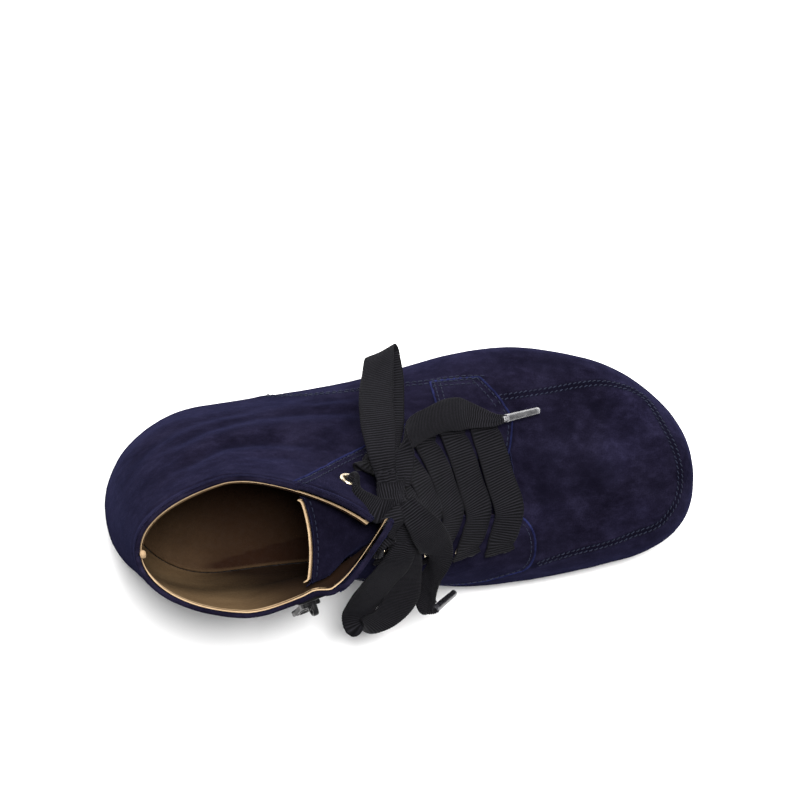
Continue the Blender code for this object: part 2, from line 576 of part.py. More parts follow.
def make_eyelets(mat, places):
    """turned grommets: flange outside, barrel through the hole"""
    profile = [(EYELET_BORE_R, -1.9), (2.2, -1.9), (2.2, 0.42), (EYELET_R, 0.42), (EYELET_R - 0.15, 0.8),
               (2.3, 1.0), (EYELET_BORE_R, 0.7)][::-1]
    mesh = bpy.data.meshes.new("eyelet")
    mesh.from_pydata([(r / 1000, 0, z / 1000) for r, z in profile], [(i, (i + 1) % len(profile)) for i in range(len(profile))], [])
    made = []
    for (side, k), (p, n) in places.items():
        ob = bpy.data.objects.new("eyelet_%s_%d" % (("lateral", "medial")[side], k + 1), mesh)
        m = n.to_track_quat("Z", "Y").to_matrix().to_4x4()
        m.translation = p / 1000.0
        ob.matrix_world = m
        (parts_collection).objects.link(ob)
        if not mesh.materials:
            mesh.materials.append(mat)
        ob.parent = frame_empty
        scr = ob.modifiers.new("turn", "SCREW")
        scr.angle = 2 * pi
        scr.steps = scr.render_steps = 12
        scr.use_merge_vertices = True
        scr.merge_threshold = 1e-5
        scr.use_normal_calculate = False
        made.append(ob)
    return made


def bar_path(k, places, lift_eyelet=3.0, lift_edge=2.2, lift_ridge=1.7):
    """over the facing, across the throat and over the other facing, with the normals"""
    s_k = [eyelet_station[(side, k)] for side in (0, 1)]

    def forward(s_, share):
        step = 0.01
        run = np.hypot(ridge_x(s_ + step) - ridge_x(s_), ridge_z(s_ + step) - ridge_z(s_)) / step
        return s_ - BAR_BULGE * share / float(run)
    pts, nrm = [], []
    for side in (0, 1):
        s_, a_ = s_k[side]
        edge = float(throat_half[side](s_))
        line = []
        full = (0.55, 1.0)[side]
        for a, lift, share in ((a_, lift_eyelet, 0), ((a_ * 2 + edge) / 3, lift_eyelet, 0.4 * full),
                               ((a_ + edge * 2) / 3, 2.5, 0.8 * full), (edge, lift_edge, full)):
            p, n = on_roof(forward(s_, share), side, a)
            line.append((p + n * lift, n))
        if side == 0:
            first = line
        else:
            second = line[::-1]
    s_m = forward((s_k[0][0] + s_k[1][0]) / 2, 0.85)
    p0, n0 = on_roof(s_m, 0, 2.5)
    p1, n1 = on_roof(s_m, 1, 2.5)
    up = (n0 + n1).normalized()
    line = first + [((p0 + p1) / 2 + up * lift_ridge, up)] + second
    return [p for p, _ in line], [n for _, n in line]


def make_lace_bars(mat, places):
    """the bars across the throat and the strip under them that joins them"""
    bars, mids, ups = [], [], []
    for k in range(EYELET_PAIRS - 1):
        pts, nrm = bar_path(k, places)
        run = np.concatenate([[0], np.cumsum([(b - a).length for a, b in zip(pts[:-1], pts[1:])])])
        fine = np.linspace(0, run[-1], 13)
        c = np.stack([curve([(r, p[q]) for r, p in zip(run, pts)], 0, 1)(fine) for q in range(3)], -1)
        n = np.stack([np.interp(fine, run, [v[q] for v in nrm]) for q in range(3)], -1)
        nxt = on_roof(eyelet_station[(0, k)][0] + 0.03, 0, 1.0)[0] - on_roof(eyelet_station[(0, k)][0], 0, 1.0)[0]
        along = np.array(nxt.normalized())
        tan = np.gradient(c, axis=0)
        tan /= np.linalg.norm(tan, axis=1)[:, None]
        rows = []
        for i in range(len(fine)):
            w = along - tan[i] * (along @ tan[i])
            w /= np.linalg.norm(w)
            u = np.cross(tan[i], w)
            u = u if u @ n[i] > 0 else -u
            hw, h = 0.43 * RIBBON_W, RIBBON_T / 2
            rows.append([c[i] - w * hw - u * h, c[i] + w * hw - u * h, c[i] + w * hw + u * h, c[i] - w * hw + u * h])
        bars.append(rows)
        mids.append(c[6])
        ups.append(n[6] / np.linalg.norm(n[6]))
    # the joining strip runs under the middles of the bars
    fine = np.linspace(0, len(mids) - 1, 10)
    c = np.stack([curve([(i, v[q]) for i, v in enumerate(mids)], 0, 1)(fine) for q in range(3)], -1)
    n = np.stack([np.interp(fine, range(len(ups)), [v[q] for v in ups]) for q in range(3)], -1)
    y = np.array([0, 2.2, 0])
    rows = [[c[i] - y - n[i] * 1.1, c[i] + y - n[i] * 1.1, c[i] + y + n[i] * 0.2, c[i] - y + n[i] * 0.2] for i in range(10)]
    ob = from_rows("lace_bars", rows, mat, ring=True, caps=True)
    for k, r in enumerate(bars):
        boolean(ob, from_rows("bar_%d" % (k + 1), r, None, ring=True, caps=True, cutter=True), "UNION")
    return ob


def make_aglet(name, mat, at, direction):
    d = Vector(direction).normalized()
    bm = bmesh.new()
    m = d.to_track_quat("Z", "Y").to_matrix().to_4x4()
    m.translation = (Vector(at) + d * (AGLET_LEN / 2 + 0.4)) / 1000.0
    bmesh.ops.create_cone(bm, cap_ends=True, segments=12, radius1=AGLET_R / 1000, radius2=AGLET_R * 0.85 / 1000,
                          depth=AGLET_LEN / 1000, matrix=m)
    mesh = bpy.data.meshes.new(name)
    bm.to_mesh(mesh)
    bm.free()
    return finish_object(bpy.data.objects.new(name, mesh), mat)


def make_knot(mat):
    bm = bmesh.new()
    bmesh.ops.create_cube(bm, size=1.0)
    bmesh.ops.scale(bm, vec=Vector(KNOT["size"]) / 1000, verts=bm.verts)
    mesh = bpy.data.meshes.new("bow_knot")
    bm.to_mesh(mesh)
    bm.free()
    ob = bpy.data.objects.new("bow_knot", mesh)
    ob.matrix_world = Matrix.Translation(Vector(KNOT["at"]) / 1000) @ Matrix.Rotation(radians(38), 4, "Y")
    finish_object(ob, mat)
    sub = ob.modifiers.new("round", "SUBSURF")
    sub.levels = sub.render_levels = 2
    return ob


def zip_frame():
    """the zip's middle line on the medial wall: its ends, and up, out and across directions"""
    top, n1 = wall_frame(1, ZIP_TOP[0], 96.0)
    bottom, n2 = wall_frame(1, *ZIP_BOTTOM)
    k = (96.0 - ZIP_BOTTOM[1]) / (ZIP_TOP[1] - ZIP_BOTTOM[1])
    up = (top - bottom).normalized()
    out = (n1 + n2)
    out = (out - up * out.dot(up)).normalized()
    across = up.cross(out).normalized()
    return dict(top=top + up * 12, collar=top, bottom=bottom, up=up, out=out, across=across)


def zip_line(n=12, z_top=97.0):
    """points down the wall under the slit's middle line, with the wall's normal at each"""
    zp = zip_frame()
    res = []
    for t in np.linspace(0, 1, n):
        z = z_top + (ZIP_BOTTOM[1] + 1.5 - z_top) * t
        x = float(np.interp(z, [ZIP_BOTTOM[1], 96.0], [ZIP_BOTTOM[0], ZIP_TOP[0]]))
        p, nrm = wall_frame(1, x, z)
        nrm = (nrm * 0.6 + zp["out"] * 0.4)
        nrm = (nrm - zp["up"] * nrm.dot(zp["up"])).normalized()
        res.append((p, nrm))
    return res, zp


def make_zip(tape_mat, chain_mat, metal_mat):
    line, zp = zip_line(12, 96.8)
    across = zp["across"]

    def strip(name, half, low, high, mat, pts):
        rows = []
        for i, (p, n) in enumerate(pts):
            rows.append([p - across * half + n * low, p + across * half + n * low,
                         p + across * half + n * high, p - across * half + n * high])
        return from_rows(name, [[np.array(v) for v in r] for r in rows], mat, ring=True, caps=True)
    strip("zip_tape", ZIP_SLIT_W / 2 - 0.7, -1.7, -0.9, tape_mat, line)
    chain_pts, _ = zip_line(12, 91.0)
    strip("zip_chain", 2.1, -0.6, 0.8, chain_mat, chain_pts)
    # slider: a plate over the chain's top end, a nose above it and a bridge for the pull
    p, n = zip_line(30, 96.5)[0][2]
    up = zp["up"]
    side = up.cross(n).normalized()
    nn = side.cross(up).normalized()
    rot = frame_matrix(side, up, nn, p)

    def placed(dx, dy, dz):
        m = rot.copy()
        m.translation = p + side * dx + up * dy + nn * dz
        return m
    slider = box("zip_slider", (8.2, 9.0, 1.4), placed(0, -3.2, 1.95), metal_mat)
    boolean(slider, box("slider_nose", (4.6, 2.4, 1.9), placed(0, 0.1, 0.75), cutter=True), "UNION")
    for k, dy in enumerate((-1.75, 1.75)):
        boolean(slider, box("slider_post_%d" % k, (1.7, 0.9, 3.3), placed(0, PIVOT_DOWN + dy, 4.0), cutter=True), "UNION")
    boolean(slider, box("slider_bridge", (1.7, 4.4, 0.9), placed(0, PIVOT_DOWN, 5.25), cutter=True), "UNION")
    # pull tab: its cross bar lies under the bridge, its window leaves the bridge free to swing through
    pivot = placed(0, PIVOT_DOWN, 3.7)
    origin = pivot.copy()
    tab = box("zip_pull", (5.2, TAB_LENGTH, 1.2), origin, metal_mat)
    tab.data.transform(Matrix.Translation(Vector((0, 0.55 - TAB_LENGTH / 2, 0)) / 1000))
    boolean(tab, box("pull_window", (2.6, 3.1, 4.0), placed(0, PIVOT_DOWN - 0.55 - 1.55, 3.7), cutter=True))
    return pivot


def main():
    global parts_collection, cutter_collection, frame_empty
    for ob in list(bpy.data.objects):
        bpy.data.objects.remove(ob, do_unlink=True)
    parts_collection = bpy.data.collections.new("ankle_boot")
    cutter_collection = bpy.data.collections.new("cutters")
    for c in (parts_collection, cutter_collection):
        bpy.context.scene.collection.children.link(c)
    frame_empty = bpy.data.objects.new("boot_frame", None)
    parts_collection.objects.link(frame_empty)

    suede = material("suede_navy", (0.012, 0.012, 0.035), 0.95)
    rubber = material("rubber_dark", (0.012, 0.012, 0.014), 0.7)
    lining = material("lining_tan", (0.62, 0.45, 0.27), 0.6)
    ribbon_mat = material("ribbon_black", (0.013, 0.013, 0.016), 0.7)
    brass = material("eyelet_metal", (0.75, 0.62, 0.40), 0.3, 1.0)
    black_metal = material("zip_metal_black", (0.02, 0.02, 0.022), 0.3, 0.8)
    nylon = material("zip_nylon_black", (0.012, 0.012, 0.014), 0.5)
    clear = material("aglet_plastic", (0.28, 0.28, 0.30), 0.35)

    places = eyelet_places()
    upper, grid = make_upper(suede, list(places.values()))
    outsole, sole_rows = make_outsole(rubber)
    make_insole(lining)
    make_tongue(suede)
    make_eyelets(brass, places)
    make_lace_bars(ribbon_mat, places)
    make_zip(nylon, nylon, black_metal)
    make_knot(ribbon_mat)
    ribbon("bow_loop_lateral", LOOP_LATERAL, ribbon_mat)
    ribbon("bow_loop_medial", LOOP_MEDIAL, ribbon_mat)
    _, a = ribbon("lace_end_lateral", END_LATERAL, ribbon_mat, taper=(0.7, 0.22), gather=(0.5, 1))
    _, b = ribbon("lace_end_medial", END_MEDIAL, ribbon_mat, taper=(0.75, 0.22), gather=(0.5, 1))
    make_aglet("aglet_lateral", clear, a[-1], a[-1] - a[-2])
    make_aglet("aglet_medial", clear, b[-1], b[-1] - b[-2])

    # origin under the middle of the boot
    pts = np.concatenate([grid.reshape(-1, 3), sole_rows.reshape(-1, 3)])
    lo, hi = pts.min(0), pts.max(0)
    frame_empty.location = Vector((-(lo[0] + hi[0]) / 2, -(lo[1] + hi[1]) / 2, 0)) / 1000.0
    bpy.context.view_layer.update()


main()
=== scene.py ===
"""Looks of the child's navy suede ankle boot: dense suede skin with its panels, seams and
stitches, tan lining, ribbon lace run through its eyelets and tied in a bow, side zip, sole.

Design millimetres as in the part's source: x heel to toe, y to the outer side, z up.
"""
import bpy
import numpy as np
from math import pi, radians, cos, sin
from mathutils import Vector, Matrix


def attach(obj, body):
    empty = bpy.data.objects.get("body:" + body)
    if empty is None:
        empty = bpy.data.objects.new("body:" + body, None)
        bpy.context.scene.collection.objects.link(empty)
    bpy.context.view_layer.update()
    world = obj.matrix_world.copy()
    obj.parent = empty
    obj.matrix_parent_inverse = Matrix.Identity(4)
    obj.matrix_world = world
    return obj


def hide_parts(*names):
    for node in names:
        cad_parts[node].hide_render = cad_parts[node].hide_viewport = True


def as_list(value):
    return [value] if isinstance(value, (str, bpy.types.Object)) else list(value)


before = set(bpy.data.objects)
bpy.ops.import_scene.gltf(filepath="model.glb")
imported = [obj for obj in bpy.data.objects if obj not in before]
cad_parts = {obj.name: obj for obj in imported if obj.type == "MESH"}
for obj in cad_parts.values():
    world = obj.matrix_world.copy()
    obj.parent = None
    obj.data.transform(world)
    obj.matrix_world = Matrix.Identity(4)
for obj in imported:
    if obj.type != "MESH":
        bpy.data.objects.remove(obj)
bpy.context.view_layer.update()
OFF = np.array([-90.25364, -0.541253, 0.0])

# ------------------------------------------------------------------ sizes and tables (mm)
BOOT_LENGTH, SEAT_Z, COLLAR_BACK_Z, COLLAR_BOW = 180.0, 16.0, 99.0, 2.4
WALL, GAP, INSOLE_T, TONGUE_T = 2.0, 0.3, 2.7, 1.8
TUCK_Z, TUCK = 19.0, 0.05
TOE_ROUND, TOE_FULL, HEEL_FULL = (61.0, 42.0), 2.3, 2.05
THROAT_S, FLAP_REACH = 0.405, 26.0
RIBBON_W = 10.0
ZIP_TOP, ZIP_BOTTOM, ZIP_SLIT_W, PIVOT_DOWN = (63.6, 106.0), (44.6, 37.0), 6.4, -3.2
FAN = [
    ("tip",      0.00, 180.0,  20.0,  6.7, 2.40, 2.40), ("toe_wall", 0.05, 179.2,  24.4, 10.7, 2.40, 2.40),
    ("toe_roll", 0.10, 176.4,  28.4, 14.7, 2.40, 2.40), ("toe_top",  0.15, 171.2,  31.7, 18.2, 2.40, 2.40),
    ("toe_box",  0.20, 164.0,  34.2, 21.1, 2.40, 2.40), ("box",      0.30, 146.5,  38.6, 26.5, 2.30, 2.40),
    ("ball",     0.40, 125.0,  45.2, 33.4, 2.00, 2.30), ("vamp",     0.50, 109.0,  55.2, 42.0, 1.85, 2.15),
    ("instep",   0.60, 100.0,  65.6, 48.0, 1.70, 2.00), ("instep2",  0.70,  95.4,  73.4, 51.5, 1.60, 1.88),
    ("ankle",    0.80,  92.6,  79.2, 53.5, 1.52, 1.76), ("heel",     0.90,  90.9,  83.3, 54.6, 1.49, 1.67),
    ("seat",     1.00,  89.9,  86.0, 55.0, 1.48, 1.61), ("back1",    1.33,  88.2,  90.2, 53.0, 1.48, 1.50),
    ("back2",    1.67,  86.5,  94.4, 48.8, 1.48, 1.40), ("top",      2.00,  84.6,  98.8, 43.6, 1.47, 1.31),
]
PLAN = [
    ("heel_back",  -5, 27.3, 28.0, 0.0), ("heel",        15, 26.6, 27.8, 0.0),
    ("heel_front", 35, 27.4, 27.4, 0.0), ("waist",       60, 28.9, 27.4, 0.0),
    ("waist_front", 85, 31.8, 31.2, 0.0), ("joint",     105, 36.0, 35.8, 0.0),
    ("ball",      125, 38.0, 35.6, -0.4), ("toes",      145, 37.4, 32.6, -1.5),
    ("toe_box",   165, 35.6, 32.4, -2.6), ("tip",       185, 30.6, 34.2, -5.6),
]
BACK = [
    ("feather",   10,  3.2, 30.0, 1.000,  0.0), ("counter", 24,  0.4, 30.5, 1.000,  0.0),
    ("bulge",     34,  0.0, 31.0, 0.985,  0.0), ("achilles", 50, 1.3, 32.5, 0.946, -0.2),
    ("ankle",     65,  4.5, 33.5, 0.870, -1.0), ("shaft",   80,  8.5, 35.3, 0.806, -2.5),
    ("collar",    98, 14.0, 37.8, 0.771, -4.3), ("above",  110, 17.2, 39.1, 0.752, -5.4),
]
SOLE = [
    ("heel_end", 0, 16.0, 0.0), ("heel", 20, 15.8, 0.0), ("breast", 45, 14.5, 0.0),
    ("arch", 70, 12.0, 6.0), ("waist", 95, 9.6, 0.0), ("ball", 120, 8.7, 0.0),
    ("toes", 145, 9.4, 0.6), ("toe_box", 165, 11.0, 2.9), ("tip", 181, 12.7, 6.2),
]
TREAD = [
    ("heel_end", -1, 1.6), ("heel_bevel", 5, 0.0), ("breast", 46, 0.0), ("breast_top", 49, 5.2),
    ("arch", 58, 6.2), ("arch_front", 74, 4.2), ("waist", 88, 0.7), ("flat_back", 92, 0.0),
    ("flat_front", 136, 0.0), ("spring1", 146, 0.6), ("spring2", 158, 2.1), ("spring3", 170, 4.2),
    ("tip", 182, 6.8),
]
THROAT = [
    ("toe",    0.000, 9.8, 10.4, 0.0, 0.0), ("vamp",  0.300, 9.8, 10.4, 0.0, 0.0),
    ("front",  0.405, 9.8, 10.4, 0.0, 0.0), ("low",   0.500, 8.2,  8.0, 0.0, 0.0),
    ("middle", 0.650, 7.0,  6.0, 0.3, 1.2), ("high",  1.000, 6.0,  3.2, 1.3, 3.2),
    ("upper",  1.500, 5.6,  1.9, 2.4, 4.2), ("top",   2.000, 5.2,  1.4, 3.1, 4.6),
]
TONGUE = [
    ("base", 0.375, 3.7, 12.0), ("vamp", 0.45, 3.7, 15.0), ("low", 0.52, 3.7, 17.0),
    ("instep", 0.60, 4.0, 18.5), ("middle", 0.75, 6.5, 19.0), ("high", 1.0, 9.8, 18.5),
    ("upper", 1.4, 12.3, 18.0), ("near_top", 1.7, 15.6, 17.5), ("top", 1.97, 20.5, 17.0),
]
LOOP_LATERAL = [
    ("leaves_knot", 87.2, 11.8, 94.0,  1.0,  0.10, 0.10),
    ("rise",        86.6, 16.5, 95.0,  1.0,  0.00, 0.00),
    ("over",        86.3, 22.0, 92.5,  1.0,  0.00, 0.00),
    ("fall",        86.4, 28.8, 86.0,  1.0,  0.00, 0.00),
    ("lower",       87.0, 35.5, 77.0,  1.0,  0.15, 0.05),
    ("fold_top",    88.0, 41.5, 68.0,  1.0,  0.35, 0.20),
    ("fold",        89.3, 43.9, 61.5,  1.0,  0.40, 0.20),
    ("fold_under",  91.0, 42.4, 57.0,  1.0,  0.35, 0.25),
    ("back",        92.0, 37.2, 58.0,  1.0,  0.20, 0.30),
    ("back_up",     91.8, 30.0, 63.2,  1.0,  0.10, 0.20),
    ("back_knot",   90.0, 22.4, 67.8,  1.0,  0.00, 0.00),
    ("enters_knot", 87.6, 14.2, 78.9,  1.0,  0.00, 0.00),
]
LOOP_MEDIAL = [
    ("leaves_knot", 92.6,  -0.6, 91.2,  1.0, -0.10,  0.00),
    ("over",        91.6,  -8.0, 87.9,  1.0,  0.00,  0.00),
    ("fall",        90.3, -16.2, 79.2,  1.0,  0.00,  0.00),
    ("lower",       89.7, -24.4, 67.5,  1.0, -0.05, -0.10),
    ("turn",        87.2, -31.9, 56.5,  0.9, -0.30, -0.35),
    ("run_down",    82.5, -37.1, 49.0,  0.65, -0.50, -0.55),
    ("run_back",    76.6, -40.0, 44.8,  0.40, -0.45, -0.75),
    ("fold",        72.0, -39.6, 44.2,  0.15, -0.30, -0.90),
    ("fold_under",  70.8, -35.9, 47.5,  0.45, -0.10, -0.80),
    ("back",        73.2, -30.8, 55.5,  0.80,  0.00, -0.50),
    ("back_up",     77.4, -25.0, 66.0,  1.0,   0.00, -0.20),
    ("back_knot",   83.4, -18.6, 79.3,  1.0,   0.00,  0.00),
    ("near_knot",   88.8, -10.9, 85.8,  1.0,   0.00,  0.00),
    ("enters_knot", 92.4,  -3.8, 87.2,  1.0,   0.00,  0.00),
]
END_LATERAL = [
    ("leaves_knot",  92.0, 11.4, 89.0, 0.95, 0.30, 0.00),
    ("out",          91.9, 15.2, 86.0, 0.90, 0.42, -0.10),
    ("rise",         94.0, 19.6, 80.8, 0.55, 0.80, -0.20),
    ("over",         99.6, 22.2, 71.6, 0.42, 0.88, -0.30),
    ("down",        105.9, 23.4, 61.5, 0.30, 0.95, -0.25),
    ("crest",       111.5, 22.0, 54.2, 0.15, 1.00, -0.15),
    ("lie",         116.8, 20.2, 51.4, 0.00, 1.00, -0.20),
    ("turn",        120.7, 19.2, 49.6, -0.05, 1.00, -0.30),
    ("aglet",       123.5, 19.3, 48.2, -0.10, 1.00, -0.30),
]
END_MEDIAL = [
    ("leaves_knot",  93.4,  3.2, 95.6, 0.70,  0.70, 0.10),
    ("diagonal",     95.6, -1.4, 95.0, 0.70,  0.70, 0.10),
    ("across",       98.6, -7.6, 89.6, 0.75,  0.60, 0.10),
    ("fold",        100.2, -13.8, 79.2, 0.80, 0.45, -0.20),
    ("down",         99.0, -20.8, 67.6, 0.60, 0.20, 0.70),
    ("lower",        97.2, -27.8, 56.2, 0.50, 0.20, 0.80),
    ("curl",         94.8, -34.0, 46.9, 0.80, 0.10, 0.50),
    ("curl_out",     95.6, -37.4, 42.8, 0.90, 0.10, 0.20),
    ("aglet",        98.4, -37.2, 40.6, 0.55, 0.30, 0.80),
]
KNOT_AT = np.array([87.9, 6.0, 92.0])
AGLET_R, AGLET_LEN = 1.25, 11.0
EYELETS = {0: (17.4, 19.2, 0.447, 1.32), 1: (20.0, 17.0, 0.434, 1.26)}


# ------------------------------------------------------------------ curves
def curve(table, key, value):
    xs = np.array([row[key] for row in table], float)
    ys = np.array([row[value] for row in table], float)
    n = len(xs)
    h = np.diff(xs)
    a, r = np.zeros((n, n)), np.zeros(n)
    a[0, 0] = a[-1, -1] = 1
    for i in range(1, n - 1):
        a[i, i - 1], a[i, i], a[i, i + 1] = h[i - 1], 2 * (h[i - 1] + h[i]), h[i]
        r[i] = 6 * ((ys[i + 1] - ys[i]) / h[i] - (ys[i] - ys[i - 1]) / h[i - 1])
    m = np.linalg.solve(a, r)

    def f(x):
        x = np.clip(np.asarray(x, float), xs[0], xs[-1])
        k = np.clip(np.searchsorted(xs, x) - 1, 0, n - 2)
        d, e, hh = x - xs[k], xs[k + 1] - x, h[k]
        return ((m[k] * e ** 3 + m[k + 1] * d ** 3) / (6 * hh)
                + (ys[k] / hh - m[k] * hh / 6) * e + (ys[k + 1] / hh - m[k + 1] * hh / 6) * d)
    return f


def straight(table, key, value):
    xs = [row[key] for row in table]
    ys = [row[value] for row in table]
    return lambda x: np.interp(x, xs, ys)


def unit(v):
    return v / (np.linalg.norm(v, axis=-1, keepdims=True) + 1e-12)


def smoothstep(x, a, b):
    t = np.clip((x - a) / (b - a), 0, 1)
    return t * t * (3 - 2 * t)


def run_of(p):
    return np.concatenate([[0], np.cumsum(np.linalg.norm(np.diff(p, axis=0), axis=1))])


def through(points, step, extra=None):
    """smooth line through points, at an even step; extra columns go along"""
    p = np.asarray(points, float)
    k = run_of(p[:, :3])
    n = max(int(round(k[-1] / 0.25)), 4)
    fine = np.linspace(0, k[-1], n)
    out = np.stack([curve([(a, b) for a, b in zip(k, p[:, c])], 0, 1)(fine) for c in range(p.shape[1])], -1)
    r = run_of(out[:, :3])
    m = max(int(round(r[-1] / step)), 3)
    at = np.linspace(0, r[-1], m + 1)
    return np.stack([np.interp(at, r, out[:, c]) for c in range(p.shape[1])], -1)


def polyline(points, step):
    p = np.asarray(points, float)
    r = run_of(p)
    at = np.linspace(0, r[-1], max(int(round(r[-1] / step)), 3) + 1)
    return np.stack([np.interp(at, r, p[:, c]) for c in range(3)], -1)


ridge_x, ridge_z, roof_length, full_q, full_p = [curve(FAN, 1, k) for k in (2, 3, 4, 5, 6)]
half_width = [curve(PLAN, 1, 2), curve(PLAN, 1, 3)]
swing = curve(PLAN, 1, 4)
back_x, back_round, narrow, lean = [curve(BACK, 1, k) for k in (2, 3, 4, 5)]
feather_z = curve(SOLE, 1, 2)
tread_z = straight(TREAD, 1, 2)
throat_half = [curve(THROAT, 1, 2), curve(THROAT, 1, 3)]
flap_forward, flap_in = curve(THROAT, 1, 4), curve(THROAT, 1, 5)
SEAT_X = float(back_x(SEAT_Z))


# ------------------------------------------------------------------ the last's surface
def low_line(s):
    s = np.asarray(s, float)
    f, b = np.clip(s, 0, 1), np.clip(s - 1, 0, 1)
    x = (BOOT_LENGTH + SEAT_X) / 2 + (BOOT_LENGTH - SEAT_X) / 2 * np.cos(pi * f)
    z = feather_z(x) + (SEAT_Z - float(feather_z(SEAT_X))) * np.clip((s - 0.9) / 0.1, 0, 1)
    z = np.where(s <= 1, z, SEAT_Z + (COLLAR_BACK_Z - SEAT_Z) * b)
    return np.where(s > 1, back_x(z), x), z


def section(s, side, m=241):
    s = np.atleast_1d(np.asarray(s, float))
    x0, z0 = [a[:, None] for a in low_line(s)]
    drawn = np.where(s > THROAT_S, side, 0)
    x1, z1 = (ridge_x(s) + drawn * flap_forward(s))[:, None], ridge_z(s)[:, None]
    t = 1 - (1 - np.linspace(0, 1, m)[None] ** 1.7) ** 2.2
    x, z = x0 + (x1 - x0) * t, z0 + (z1 - z0) * t
    ln = np.hypot(x1 - x0, z1 - z0)
    bow = COLLAR_BOW * np.clip(s - 1, 0, 1)[:, None] ** 2 * 4 * t * (1 - t)
    x, z = x - bow * (z1 - z0) / ln, z + bow * (x1 - x0) / ln
    rl, q, p = [f(s)[:, None] for f in (roof_length, full_q, full_p)]
    roof = np.maximum(1 - np.clip(1 - (1 - t) * ln / rl, 0, 1) ** q, 0) ** (1 / p)
    heel = np.maximum(1 - (1 - np.clip((x - back_x(z)) / back_round(z), 0, 1)) ** HEEL_FULL, 0) ** (1 / HEEL_FULL)
    toe = np.maximum(1 - (1 - np.clip((BOOT_LENGTH - x) / TOE_ROUND[side], 0, 1)) ** TOE_FULL, 0) ** (1 / TOE_FULL)
    tuck = 1 - TUCK * np.clip((TUCK_Z - z) / 10, 0, 1) ** 2
    w = half_width[side](x) * narrow(z) * tuck * roof * heel * toe
    inwards = (drawn * flap_in(s))[:, None] * np.clip(1 - (1 - t) * ln / FLAP_REACH, 0, 1) ** 1.2
    if side:      # beside the zip the front part's edge stands a little proud of the back part's
        inwards = inwards - 3.1 * smoothstep(x, 63.4, 70.4) * (1 - smoothstep(x, 71.5, 86.0)) * smoothstep(s, 1.45, 1.95)[:, None]
    return np.stack([x, (w if side == 0 else -w) + lean(z) + swing(x) + inwards, z], -1)


def lengths(sec):
    d = np.linalg.norm(np.diff(sec, axis=1), axis=2)
    return np.concatenate([np.zeros((len(d), 1)), np.cumsum(d, 1)], 1)


def along(sec, c, at):
    """points of sections at lengths (one row of lengths per section)"""
    out = np.zeros((len(sec), at.shape[1], 3))
    for i in range(len(sec)):
        for k in range(3):
            out[i, :, k] = np.interp(at[i], c[i], sec[i, :, k])
    return out


def surf_point(side, s, a):
    sec = section(s, side)
    c = lengths(sec)
    return along(sec, c, (c[:, -1] - np.asarray(a, float))[:, None])[:, 0]


def outwards(n, p):
    c = np.stack([np.clip(p[..., 0], 35, 150), np.zeros(p.shape[:-1]), np.full(p.shape[:-1], 25.0)], -1)
    return np.where(((p - c) * n).sum(-1, keepdims=True) > 0, n, -n)


def surf(side, s, a):
    """points at s and distance a from the ridge, with outward normals"""
    s, a = np.atleast_1d(np.asarray(s, float)), np.atleast_1d(np.asarray(a, float))
    p = surf_point(side, s, a)
    ds = surf_point(side, np.clip(s + 0.012, 0, 2), a) - surf_point(side, np.clip(s - 0.012, 0, 2), a)
    da = surf_point(side, s, a + 0.8) - surf_point(side, s, a - 0.8)
    return p, outwards(unit(np.cross(ds, da)), p)


_ts = np.concatenate([np.linspace(0, 1, 260), np.linspace(1, 2, 130)[1:]])
_table = []
for _side in (0, 1):
    _sec = section(_ts, _side, 161)
    _c = lengths(_sec)
    _table.append((_sec, _c[:, -1:] - _c))


def locate(side, pts):
    """s and distance from the ridge of the surface points nearest to some points"""
    pts = np.atleast_2d(np.asarray(pts, float))
    sec, away = _table[side]
    flat = sec.reshape(-1, 3)
    s, a = np.zeros(len(pts)), np.zeros(len(pts))
    for i, p in enumerate(pts):
        k = int(np.argmin(((flat - p) ** 2).sum(1)))
        s[i], a[i] = _ts[k // sec.shape[1]], away.ravel()[k]
    for _ in range(4):
        p = surf_point(side, s, a)
        e = np.where(s > 1.97, -0.004, 0.004)
        js = (surf_point(side, s + e, a) - p) / e[:, None]
        ja = (surf_point(side, s, a + 0.3) - p) / 0.3
        r = pts - p
        A = np.stack([js, ja], -1)
        for i in range(len(pts)):
            d, _, _, _ = np.linalg.lstsq(A[i], r[i], rcond=None)
            s[i] += np.clip(d[0], -0.03, 0.03)
            a[i] += np.clip(d[1], -2, 2)
        s = np.clip(s, 0, 2)
        a = np.maximum(a, 0)
    return s, a


def centre_y(p):
    return lean(p[..., 2]) + swing(p[..., 0])


def on_upper(pts, side=None):
    """nearest points of the upper, as side, s, a, point and normal"""
    pts = np.atleast_2d(np.asarray(pts, float))
    sides = (pts[:, 1] < centre_y(pts)).astype(int) if side is None else np.full(len(pts), side)
    s, a = np.zeros(len(pts)), np.zeros(len(pts))
    p, n = np.zeros_like(pts), np.zeros_like(pts)
    for k in (0, 1):
        m = sides == k
        if m.any():
            s[m], a[m] = locate(k, pts[m])
            p[m], n[m] = surf(k, s[m], a[m])
    return sides, s, a, p, n


def wall_point(side, x, z):
    sec, away = _table[side]
    d = (sec[..., 0] - x) ** 2 + (sec[..., 2] - z) ** 2
    near = np.argsort(d, axis=None)[:6]
    wgt = 1 / (d.ravel()[near] + 1e-3)
    return float((wgt * sec[..., 1].ravel()[near]).sum() / wgt.sum())


def wall_frame(side, x, z, step=2.5):
    p = np.array([x, wall_point(side, x, z), z])
    dx = np.array([2 * step, wall_point(side, x + step, z) - wall_point(side, x - step, z), 0])
    dz = np.array([0, wall_point(side, x, z + step) - wall_point(side, x, z - step), 2 * step])
    n = unit(np.cross(dz, dx))
    return p, n if (n[1] > 0) == (side == 0) else -n


